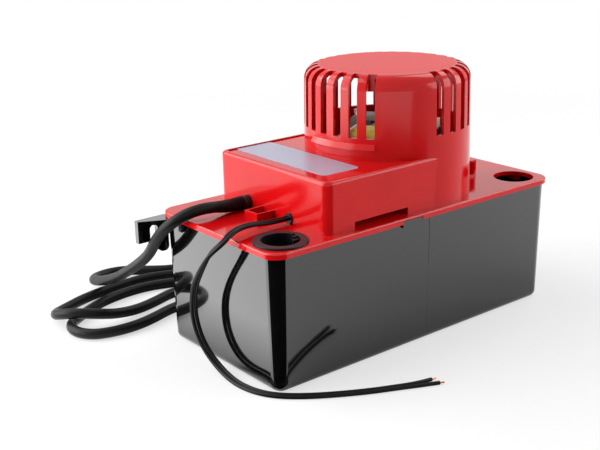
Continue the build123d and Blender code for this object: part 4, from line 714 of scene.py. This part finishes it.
class Finish(Enum):
    """Every finish on the pump."""

    COVER = CoverMoulding(
        "red_cover", linear(198, 12, 16), linear(184, 9, 12), 0.13, 0.05, shine=0.28
    )
    DECK = Moulding("red_deck", linear(200, 13, 17), linear(186, 10, 14), 0.1, 0.05, shine=0.38)
    TANK = Moulding("black_tank", linear(12, 12, 13), linear(8, 8, 9), 0.05, 0.03, coat=1.0)
    TRIM = Moulding("black_trim", linear(28, 28, 30), linear(20, 20, 22), 0.3, 0.1)
    VALVE = Moulding("valve_black", linear(34, 34, 36), linear(24, 24, 26), 0.38, 0.1)
    SWITCH = Moulding("switch_body", linear(38, 38, 42), linear(26, 26, 30), 0.34, 0.1)
    BUTTON = Moulding("switch_plunger", linear(190, 40, 32), linear(160, 30, 26), 0.34, 0.1)
    NYLON = Moulding("natural_nylon", linear(232, 228, 216), linear(214, 208, 192), 0.4, 0.12)
    NAVY = Moulding("navy_housing", linear(30, 36, 66), linear(22, 26, 48), 0.36, 0.1)
    FOAM = Moulding("float_skin", linear(44, 44, 47), linear(34, 34, 36), 0.6, 0.1)
    GROMMET = Rubber("grommet_rubber", linear(14, 15, 18), linear(26, 28, 34), 0.3)
    CORD = Rubber("cord_jacket", linear(8, 8, 8), linear(16, 16, 16), 0.42)
    LEAD = Rubber("lead_jacket", linear(8, 8, 8), linear(15, 15, 15), 0.36)
    HOSE = Rubber("riser_vinyl", linear(52, 52, 54), linear(66, 66, 68), 0.3)
    FILM = SatinFilm("blank_film", linear(178, 180, 200), linear(156, 158, 178))
    STEEL = Metal("plated_steel", linear(176, 176, 172), linear(130, 126, 116), 0.3)
    CAST = Metal("bracket_alloy", linear(150, 150, 146), linear(112, 110, 104), 0.42)
    BRONZE = Metal("bearing_bronze", linear(168, 128, 78), linear(118, 88, 54), 0.4)
    COPPER = Metal("bare_copper", linear(196, 120, 84), linear(132, 78, 54), 0.3)
    BRASS = Metal("stamped_brass", linear(206, 178, 110), linear(160, 134, 80), 0.28)
    STACK = Laminations("stack_steel", linear(120, 118, 114), linear(60, 54, 48))
    TAPE = Tape("coil_tape", linear(240, 230, 92), linear(222, 208, 70))


NODE_FINISH: Mapping[str, Finish] = {
    "tank": Finish.TANK,
    "deck": Finish.DECK,
    "motor_cover": Finish.COVER,
    "blank_plate": Finish.FILM,
    "inlet_grommet": Finish.GROMMET,
    "cord_bush": Finish.TRIM,
    "lead_bush": Finish.TRIM,
    "cord_clip": Finish.DECK,
    "stator_stack": Finish.STACK,
    "rotor_core": Finish.STACK,
    "rotor_end_rings": Finish.CAST,
    "coil_bobbin": Finish.NYLON,
    "coil_winding": Finish.TAPE,
    "upper_bracket": Finish.CAST,
    "lower_bracket": Finish.CAST,
    "upper_bush": Finish.BRONZE,
    "lower_bush": Finish.BRONZE,
    "shading_rings": Finish.COPPER,
    "terminal_block": Finish.NAVY,
    "terminal_cap": Finish.NYLON,
    "motor_shaft": Finish.STEEL,
    "cooling_fan": Finish.NYLON,
    "impeller": Finish.NYLON,
    "pump_column": Finish.TRIM,
    "volute_casing": Finish.TRIM,
    "strainer": Finish.TRIM,
    "riser_hose": Finish.HOSE,
    "check_valve_body": Finish.VALVE,
    "valve_gasket": Finish.GROMMET,
    "valve_nut": Finish.VALVE,
    "check_ball": Finish.NYLON,
    "discharge_barb": Finish.VALVE,
    "float_block": Finish.FOAM,
    "float_rod": Finish.NYLON,
    "switch_bracket": Finish.TRIM,
    "pump_switch": Finish.SWITCH,
    "safety_switch": Finish.SWITCH,
    "pump_button": Finish.BUTTON,
    "safety_button": Finish.BUTTON,
    "switch_terminals": Finish.BRASS,
    "motor_screws": Finish.STEEL,
    "volute_screws": Finish.STEEL,
    "column_screws": Finish.STEEL,
    "switch_screws": Finish.STEEL,
    "bracket_screws": Finish.STEEL,
    "cover_screws": Finish.STEEL,
    "supply_plug": Finish.CORD,
    "plug_pins": Finish.BRASS,
}


class Wardrobe:
    """Builds each finish once and puts it on objects."""

    def __init__(self) -> None:
        """Start with nothing built."""
        self.built: dict[Finish, bpy.types.Material] = {}

    def get(self, finish: Finish) -> bpy.types.Material:
        """Return a finish's material, built on first use.

        Args:
            finish: The finish.

        Returns:
            Its material.
        """
        if finish not in self.built:
            self.built[finish] = finish.value.build()
        return self.built[finish]

    def dress(self, piece: bpy.types.Object, finish: Finish) -> None:
        """Give an object one finish all over.

        Args:
            piece: The object.
            finish: Its finish.
        """
        slots = piece.data.materials
        if len(slots) == 0:
            slots.append(self.get(finish))
        for index in range(len(slots)):
            slots[index] = self.get(finish)


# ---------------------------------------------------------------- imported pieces
@dataclass
class PackedPieces:
    """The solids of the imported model, dressed where they stand."""

    frame: Mapping[str, object]
    wardrobe: Wardrobe

    def build(self) -> None:
        """Dress every solid in its finish."""
        for name, finish in NODE_FINISH.items():
            piece = self.frame["nodes"][name]
            self.wardrobe.dress(piece, finish)
            LOG.info("dressed %s in %s", name, finish.value.name)


# ---------------------------------------------------------------- cords
@dataclass
class FlexibleCord:
    """A cord, cable or lead on one smooth curve."""

    name: str
    node: str
    route: Sequence[Point]
    diameter: float
    length: float
    finish: Finish
    far_end: str
    stiffness: str
    slot: str
    with_pieces: Sequence[bpy.types.Object] = field(default_factory=tuple)
    steps_round: int = 6
    steps_along: int = 10

    def build(self, wardrobe: Wardrobe) -> bpy.types.Object:
        """Args:
            wardrobe: Where its finish comes from.

        Returns:
            The cord's curve.
        """
        curve = bpy.data.curves.new(self.name, "CURVE")
        curve.dimensions = "3D"
        curve.bevel_depth = self.diameter / 2
        curve.bevel_resolution = self.steps_round
        curve.resolution_u = self.steps_along
        curve.use_fill_caps = True
        spline = curve.splines.new("NURBS")
        spline.points.add(len(self.route) - 1)
        for point, place in zip(spline.points, self.route):
            point.co = (*place, 1.0)
        spline.order_u = 3
        spline.use_endpoint_u = True
        cord = bpy.data.objects.new(self.name, curve)
        bpy.context.scene.collection.objects.link(cord)
        wardrobe.dress(cord, self.finish)
        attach(cord, "housing")
        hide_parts(self.node)
        LOG.info("laid %s, %.2f m long", self.name, self.length)
        return cord


# ---------------------------------------------------------------- small trim
class Workshop:
    """Makes mesh pieces in the frame's own metres and hands them to their body."""

    def __init__(self, wardrobe: Wardrobe) -> None:
        """Keep the wardrobe.

        Args:
            wardrobe: Where finishes come from.
        """
        self.wardrobe = wardrobe

    def finish_piece(self, name: str, shape: bmesh.types.BMesh, finish: Finish) -> bpy.types.Object:
        """Turn a working mesh into a dressed piece that rides on the housing.

        Args:
            name: The piece's name.
            shape: The working mesh, which is freed.
            finish: Its finish.

        Returns:
            The piece.
        """
        bmesh.ops.recalc_face_normals(shape, faces=shape.faces)
        mesh = bpy.data.meshes.new(name)
        shape.to_mesh(mesh)
        shape.free()
        mesh.shade_smooth()
        mesh.set_sharp_from_angle(angle=math.radians(38))
        piece = bpy.data.objects.new(name, mesh)
        bpy.context.scene.collection.objects.link(piece)
        self.wardrobe.dress(piece, finish)
        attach(piece, "housing")
        LOG.info("made %s with %d faces", name, len(mesh.polygons))
        return piece

    @staticmethod
    def loft(shape: bmesh.types.BMesh, rings: Sequence[Sequence[Vector]]) -> None:
        """Skin a row of rings and close both ends.

        Args:
            shape: The mesh that is added to.
            rings: Rings with the same number of points each.
        """
        rows = [[shape.verts.new(point) for point in ring] for ring in rings]
        count = len(rows[0])
        for first, second in zip(rows, rows[1:]):
            for index in range(count):
                after = (index + 1) % count
                shape.faces.new((first[index], first[after], second[after], second[index]))
        shape.faces.new(list(reversed(rows[0])))
        shape.faces.new(rows[-1])

    @staticmethod
    def ring(centre: Vector, along: Vector, radius: float, count: int = 32) -> list[Vector]:
        """Return a ring of points square to a direction.

        Args:
            centre: The ring's centre.
            along: Its axis.
            radius: Its radius.
            count: How many points it has.

        Returns:
            The points.
        """
        axis = along.normalized()
        side = axis.cross(Vector((0.0, 0.0, 1.0))).normalized()
        up = side.cross(axis)
        turns = [2 * math.pi * index / count for index in range(count)]
        return [centre + radius * (math.cos(t) * side + math.sin(t) * up) for t in turns]


@dataclass
class StrainRelief:
    """Tapered sleeve moulded on the supply cord where it leaves the switch box."""

    root_radius: float = 4.7 * MM
    tip_radius: float = 3.95 * MM
    steps: int = 14

    def build(self, shop: Workshop) -> bpy.types.Object:
        """Build the sleeve along the first bend of the cord's own curve.

        Args:
            shop: Where pieces are made.

        Returns:
            The sleeve.
        """
        start, control, beyond = (Vector(point) for point in SUPPLY_ROUTE[:3])
        end = (control + beyond) / 2
        shape = bmesh.new()
        rings = []
        for step in range(self.steps + 1):
            share = step / self.steps
            back = 1 - share
            centre = back * back * start + 2 * back * share * control + share * share * end
            along = back * (control - start) + share * (end - control)
            radius = self.root_radius + (self.tip_radius - self.root_radius) * share
            rings.append(shop.ring(centre, along, radius))
        shop.loft(shape, rings)
        return shop.finish_piece("cord_strain_relief", shape, Finish.CORD)


@dataclass
class PlugTrim:
    """Ribs on the plug's relief and grip ridges on its two broad sides."""

    relief_length: float = 14 * MM
    relief_radius: float = 5.6 * MM
    rib_count: int = 5
    rib_width: float = 1.3 * MM
    rib_rise: float = 0.7 * MM
    rib_shrink: float = 0.12
    seat: float = 0.1 * MM
    body_width: float = 26 * MM
    grip_count: int = 6
    grip_pitch: float = 3.2 * MM
    grip_start: float = 22 * MM
    grip_height: float = 13 * MM
    grip_depth: float = 0.8 * MM
    grip_foot: float = 0.9 * MM
    grip_crest: float = 0.4 * MM

    def build(self, shop: Workshop) -> bpy.types.Object:
        """Build the ribs and ridges in the plug's own directions.

        Args:
            shop: Where pieces are made.

        Returns:
            The piece.
        """
        root = Vector(SUPPLY_ROUTE[-1])
        along = root - Vector(SUPPLY_ROUTE[-2])
        along.z = 0.0
        along.normalize()
        side = along.cross(Vector((0.0, 0.0, 1.0)))
        shape = bmesh.new()
        pitch = self.relief_length / self.rib_count
        for index in range(self.rib_count):
            middle = root + along * (pitch * (index + 0.5))
            foot = self.relief_radius - self.seat
            crest = self.relief_radius + self.rib_rise * (1.0 - self.rib_shrink * index)
            stations = ((-1 / 2, foot), (-1 / 4, crest), (1 / 4, crest), (1 / 2, foot))
            rings = [
                shop.ring(middle + along * (self.rib_width * share), along, radius)
                for share, radius in stations
            ]
            shop.loft(shape, rings)
        for way in (-1, 1):
            for index in range(self.grip_count):
                foot = root + along * (self.grip_start + index * self.grip_pitch)
                wall = foot + side * (way * (self.body_width / 2 - self.seat))
                half = Vector((0.0, 0.0, self.grip_height / 2))
                rows = []
                for end in (-1, 1):
                    base = wall + half * end
                    proud = base + side * (way * self.grip_depth)
                    rows.append(
                        [
                            base - along * self.grip_foot,
                            proud - along * self.grip_crest,
                            proud + along * self.grip_crest,
                            base + along * self.grip_foot,
                        ]
                    )
                shop.loft(shape, rows)
        return shop.finish_piece("plug_grip_ribs", shape, Finish.CORD)


@dataclass
class LeadStrands:
    """Twisted strands at the stripped end of both alarm leads."""

    strand_radius: float = 0.2 * MM
    spread: float = 0.4 * MM
    length: float = 3.2 * MM
    tucked: float = 0.6 * MM
    sides: int = 8
    strands: int = 6
    steps: int = 8
    twist: float = math.radians(150)

    def build(self, shop: Workshop) -> bpy.types.Object:
        """Build the strands on both leads.

        Args:
            shop: Where pieces are made.

        Returns:
            The piece.
        """
        shape = bmesh.new()
        for route in (OUTER_LEAD_ROUTE, INNER_LEAD_ROUTE):
            tip = Vector(route[-1])
            along = (tip - Vector(route[-2])).normalized()
            self._twist(shop, shape, tip, along)
        return shop.finish_piece("stripped_lead_strands", shape, Finish.COPPER)

    def _twist(
        self, shop: Workshop, shape: bmesh.types.BMesh, tip: Vector, along: Vector
    ) -> None:
        """Lay the strands of one lead round its line.

        Args:
            shop: Where pieces are made.
            shape: The mesh that is added to.
            tip: The jacket's end.
            along: The lead's direction.
        """
        side = along.cross(Vector((0.0, 0.0, 1.0))).normalized()
        up = side.cross(along)
        start = tip - along * self.tucked
        total = self.length + self.tucked
        for strand in range(self.strands + 1):
            reach = 0.0 if strand == self.strands else self.spread
            rings = []
            for step in range(self.steps + 1):
                share = step / self.steps
                turn = 2 * math.pi * strand / self.strands + self.twist * share
                offset = reach * (math.cos(turn) * side + math.sin(turn) * up)
                centre = start + along * (total * share) + offset
                rings.append(shop.ring(centre, along, self.strand_radius, self.sides))
            shop.loft(shape, rings)


@dataclass
class PartingLine:
    """Fine moulding seam down the middle of each long side of the tank."""

    x: float = 4.0 * MM
    half_width: float = 0.22 * MM
    rise: float = 0.12 * MM
    seat: float = 0.05 * MM
    top: float = 88.4 * MM
    bottom: float = 6.0 * MM
    rim: float = 61.5 * MM
    rim_height: float = 89.5 * MM
    draft: float = 1.6 / 89.5
    steps: int = 4

    def build(self, shop: Workshop) -> bpy.types.Object:
        """Build one seam on each long side.

        Args:
            shop: Where pieces are made.

        Returns:
            The piece.
        """
        shape = bmesh.new()
        for way in (-1, 1):
            rings = []
            for step in range(self.steps + 1):
                z = self.bottom + (self.top - self.bottom) * step / self.steps
                wall = self.rim - (self.rim_height - z) * self.draft
                inner, outer = way * (wall - self.seat), way * (wall + self.rise)
                rings.append(
                    [
                        Vector((self.x - self.half_width, inner, z)),
                        Vector((self.x, outer, z)),
                        Vector((self.x + self.half_width, inner, z)),
                    ]
                )
            shop.loft(shape, rings)
        return shop.finish_piece("tank_parting_line", shape, Finish.TANK)


# ---------------------------------------------------------------- studio
@dataclass
class StudioCamera:
    """Camera at the viewing angle of the fitted view."""

    place: Point = (-0.465683, -0.517822, 0.298210)
    yaw: float = math.radians(51.679)
    pitch: float = math.radians(18.220)
    roll: float = math.radians(-1.340)
    lens: float = 62.24
    sensor: float = 36.0
    near: float = 0.01

    def build(self) -> bpy.types.Object:
        """Set the camera up and make it the scene's own.

        Returns:
            The camera.
        """
        forward = Vector(
            (
                math.cos(self.yaw) * math.cos(self.pitch),
                math.sin(self.yaw) * math.cos(self.pitch),
                -math.sin(self.pitch),
            )
        )
        level = Vector((math.sin(self.yaw), -math.cos(self.yaw), 0.0))
        above = level.cross(forward)
        right = math.cos(self.roll) * level + math.sin(self.roll) * above
        up = math.cos(self.roll) * above - math.sin(self.roll) * level
        data = bpy.data.cameras.new("view")
        data.lens = self.lens
        data.sensor_width = self.sensor
        data.clip_start = self.near
        camera = bpy.data.objects.new("view", data)
        camera.matrix_world = Matrix(
            (
                (right.x, up.x, -forward.x, self.place[0]),
                (right.y, up.y, -forward.y, self.place[1]),
                (right.z, up.z, -forward.z, self.place[2]),
                (0.0, 0.0, 0.0, 1.0),
            )
        )
        bpy.context.scene.collection.objects.link(camera)
        bpy.context.scene.camera = camera
        return camera


@dataclass
class SoftBox:
    """One rectangular studio lamp, given by how bright its face looks."""

    name: str
    place: Point
    aim: Point
    width: float
    height: float
    brightness: float

    def build(self) -> bpy.types.Object:
        """Hang the lamp and aim it.

        Returns:
            The lamp.
        """
        data = bpy.data.lights.new(self.name, "AREA")
        data.shape = "RECTANGLE"
        data.size = self.width
        data.size_y = self.height
        data.energy = self.brightness * math.pi * self.width * self.height
        lamp = bpy.data.objects.new(self.name, data)
        direction = Vector(self.aim) - Vector(self.place)
        lamp.rotation_euler = direction.to_track_quat("-Z", "Y").to_euler()
        lamp.location = self.place
        lamp.visible_camera = False
        bpy.context.scene.collection.objects.link(lamp)
        return lamp


@dataclass
class Studio:
    """Pale floor, dim surroundings and soft lamps."""

    floor_size: float = 12.0
    surround: float = 0.15
    floor_share: float = 0.6
    card_from: int = 155
    card_to: int = 300
    card_reach: float = 0.7
    card_apex: Point = (-0.121, -0.058, 0.0006)
    card_step: int = 10
    # A floor patch beyond the tank's left end glows only in reflections, a painted reflection;
    # these three set its edge, blend and strength.
    glow_edge: float = 0.13
    glow_blend: float = 20.0
    reflection_glow_strength: float = 2.3
    floor_grey: float = 0.8
    fade_start: float = 0.5
    fade_rate: float = 1.6

    def build(self) -> None:
        """Build the floor, the world and the lamps."""
        self._world()
        self._floor()
        self._dark_card()
        for lamp in self._lamps():
            lamp.build()
            LOG.info("hung %s", lamp.name)

    def _lamps(self) -> Iterable[SoftBox]:
        """Return the lamps."""
        middle = (0.0, 0.0, 0.08)
        return (
            SoftBox("left_panel", (-1.34, 0.96, 0.62), middle, 2.0, 1.2, 3.7),
            SoftBox("front_panel", (1.24, -1.1, 0.62), middle, 2.0, 1.2, 3.9),
            SoftBox("top_panel", (-0.6, 0.7, 1.1), middle, 1.3, 1.3, 3.3),
            SoftBox("deck_panel", (0.75, 0.1, 1.0), (0.1, 0.0, 0.09), 0.6, 0.6, 3.2),
            SoftBox("side_card", (-0.56, 0.2, 0.13), (-0.1, 0.0, 0.05), 0.5, 0.24, 3.4),
        )

    def _world(self) -> None:
        """Dim surroundings that show white to the camera and in reflections."""
        graph = Graph("surround", bpy.data.worlds)
        path = graph.node("ShaderNodeLightPath")
        rays = ("Is Camera Ray", "Is Glossy Ray", "Is Transmission Ray")
        camera, glossy, through = (Level(graph, path.outputs[name]) for name in rays)
        seen = (camera + glossy + through).clamped()
        dim, white = (
            graph.node("ShaderNodeBackground", {}, {"Color": (1.0, 1.0, 1.0), "Strength": strength})
            for strength in (self.surround, 1.0)
        )
        both = graph.node(
            "ShaderNodeMixShader", {}, {0: seen, 1: dim.outputs[0], 2: white.outputs[0]}
        )
        graph.node("ShaderNodeOutputWorld", {}, {"Surface": both.outputs[0]})
        bpy.context.scene.world = graph.material

    def _floor(self) -> None:
        """Pale floor that keeps the pump's shadow; beyond the tank's left end it glows for
        reflections only, a painted reflection on the tank's left end.
        """
        half = self.floor_size / 2
        mesh = bpy.data.meshes.new("studio_floor")
        corners = [(-half, -half, 0.0), (half, -half, 0.0), (half, half, 0.0), (-half, half, 0.0)]
        mesh.from_pydata(corners, [], [(0, 1, 2, 3)])
        floor = bpy.data.objects.new("studio_floor", mesh)
        bpy.context.scene.collection.objects.link(floor)
        graph = Graph("studio_floor")
        path = graph.node("ShaderNodeLightPath")
        x, y, _ = graph.axes()
        away = ((x * x + y * y) ** 0.5 * self.fade_rate - self.fade_start).clamped()
        beside = ((x + self.glow_edge) * -self.glow_blend).clamped()
        seen = Level(graph, path.outputs["Is Camera Ray"])
        # Beyond the tank's left end the floor glows for glossy rays only: painted reflection on the
        # tank's left end.
        reflection_patch = Level(graph, path.outputs["Is Glossy Ray"]) * beside
        matt = graph.node("ShaderNodeBsdfDiffuse", {}, {"Color": (self.floor_grey,) * 3})
        glow, reflection_glow = (
            graph.node("ShaderNodeEmission", {}, {"Color": (1.0, 1.0, 1.0), "Strength": strength})
            for strength in (1.0, self.reflection_glow_strength)
        )
        share = seen * (self.floor_share + away * (1.0 - self.floor_share))
        pale = graph.node(
            "ShaderNodeMixShader", {}, {0: share, 1: matt.outputs[0], 2: glow.outputs[0]}
        )
        both = graph.node(
            "ShaderNodeMixShader", {}, {0: reflection_patch, 1: pale.outputs[0], 2: reflection_glow.outputs[0]}
        )
        graph.node("ShaderNodeOutputMaterial", {}, {"Surface": both.outputs[0]})
        mesh.materials.append(graph.material)

    def _dark_card(self) -> None:
        """Dark card on the floor that only reflections see, for the tank's round corner."""
        apex = Vector(self.card_apex)
        angles = range(self.card_from, self.card_to + 1, self.card_step)
        turns = [math.radians(angle) for angle in angles]
        rim = [
            apex + self.card_reach * Vector((math.cos(turn), math.sin(turn), 0.0))
            for turn in turns
        ]
        points = [apex, *rim]
        mesh = bpy.data.meshes.new("dark_card")
        mesh.from_pydata(points, [], [tuple(range(len(points)))])
        card = bpy.data.objects.new("dark_card", mesh)
        bpy.context.scene.collection.objects.link(card)
        graph = Graph("dark_card")
        matt = graph.node("ShaderNodeBsdfDiffuse", {}, {"Color": (0.0, 0.0, 0.0)})
        graph.node("ShaderNodeOutputMaterial", {}, {"Surface": matt.outputs[0]})
        mesh.materials.append(graph.material)
        card.visible_camera = False
        card.visible_diffuse = False
        card.visible_shadow = False
        card.visible_transmission = False


def main() -> None:
    """Build the whole scene in order."""
    logging.basicConfig(level=logging.INFO, format="%(message)s")
    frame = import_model()
    nodes = frame["nodes"]
    bpy.context.scene.view_settings.view_transform = "Standard"
    wardrobe = Wardrobe()
    StudioCamera().build()
    shop = Workshop(wardrobe)
    relief = StrainRelief().build(shop)
    plug_trim = PlugTrim().build(shop)
    strands = LeadStrands().build(shop)
    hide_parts("lead_tips")
    parting = PartingLine().build(shop)
    cords = (
        FlexibleCord(
            "supply_flex",
            "supply_cord",
            SUPPLY_ROUTE,
            SUPPLY_DIAMETER,
            SUPPLY_LENGTH,
            Finish.CORD,
            "plug",
            "medium",
            "cord_black",
            (nodes["supply_plug"], nodes["plug_pins"], relief, plug_trim),
        ),
        FlexibleCord(
            "alarm_lead_outer",
            "safety_lead_outer",
            OUTER_LEAD_ROUTE,
            LEAD_DIAMETER,
            OUTER_LEAD_LENGTH,
            Finish.LEAD,
            "bare",
            "medium",
            "cord_black",
            (strands,),
        ),
        FlexibleCord(
            "alarm_lead_inner",
            "safety_lead_inner",
            INNER_LEAD_ROUTE,
            LEAD_DIAMETER,
            INNER_LEAD_LENGTH,
            Finish.LEAD,
            "bare",
            "medium",
            "cord_black",
        ),
    )
    for cord in cords:
        cord.build(wardrobe)
    PackedPieces(frame, wardrobe).build()
    Studio().build()


if __name__ == "__main__":
    main()
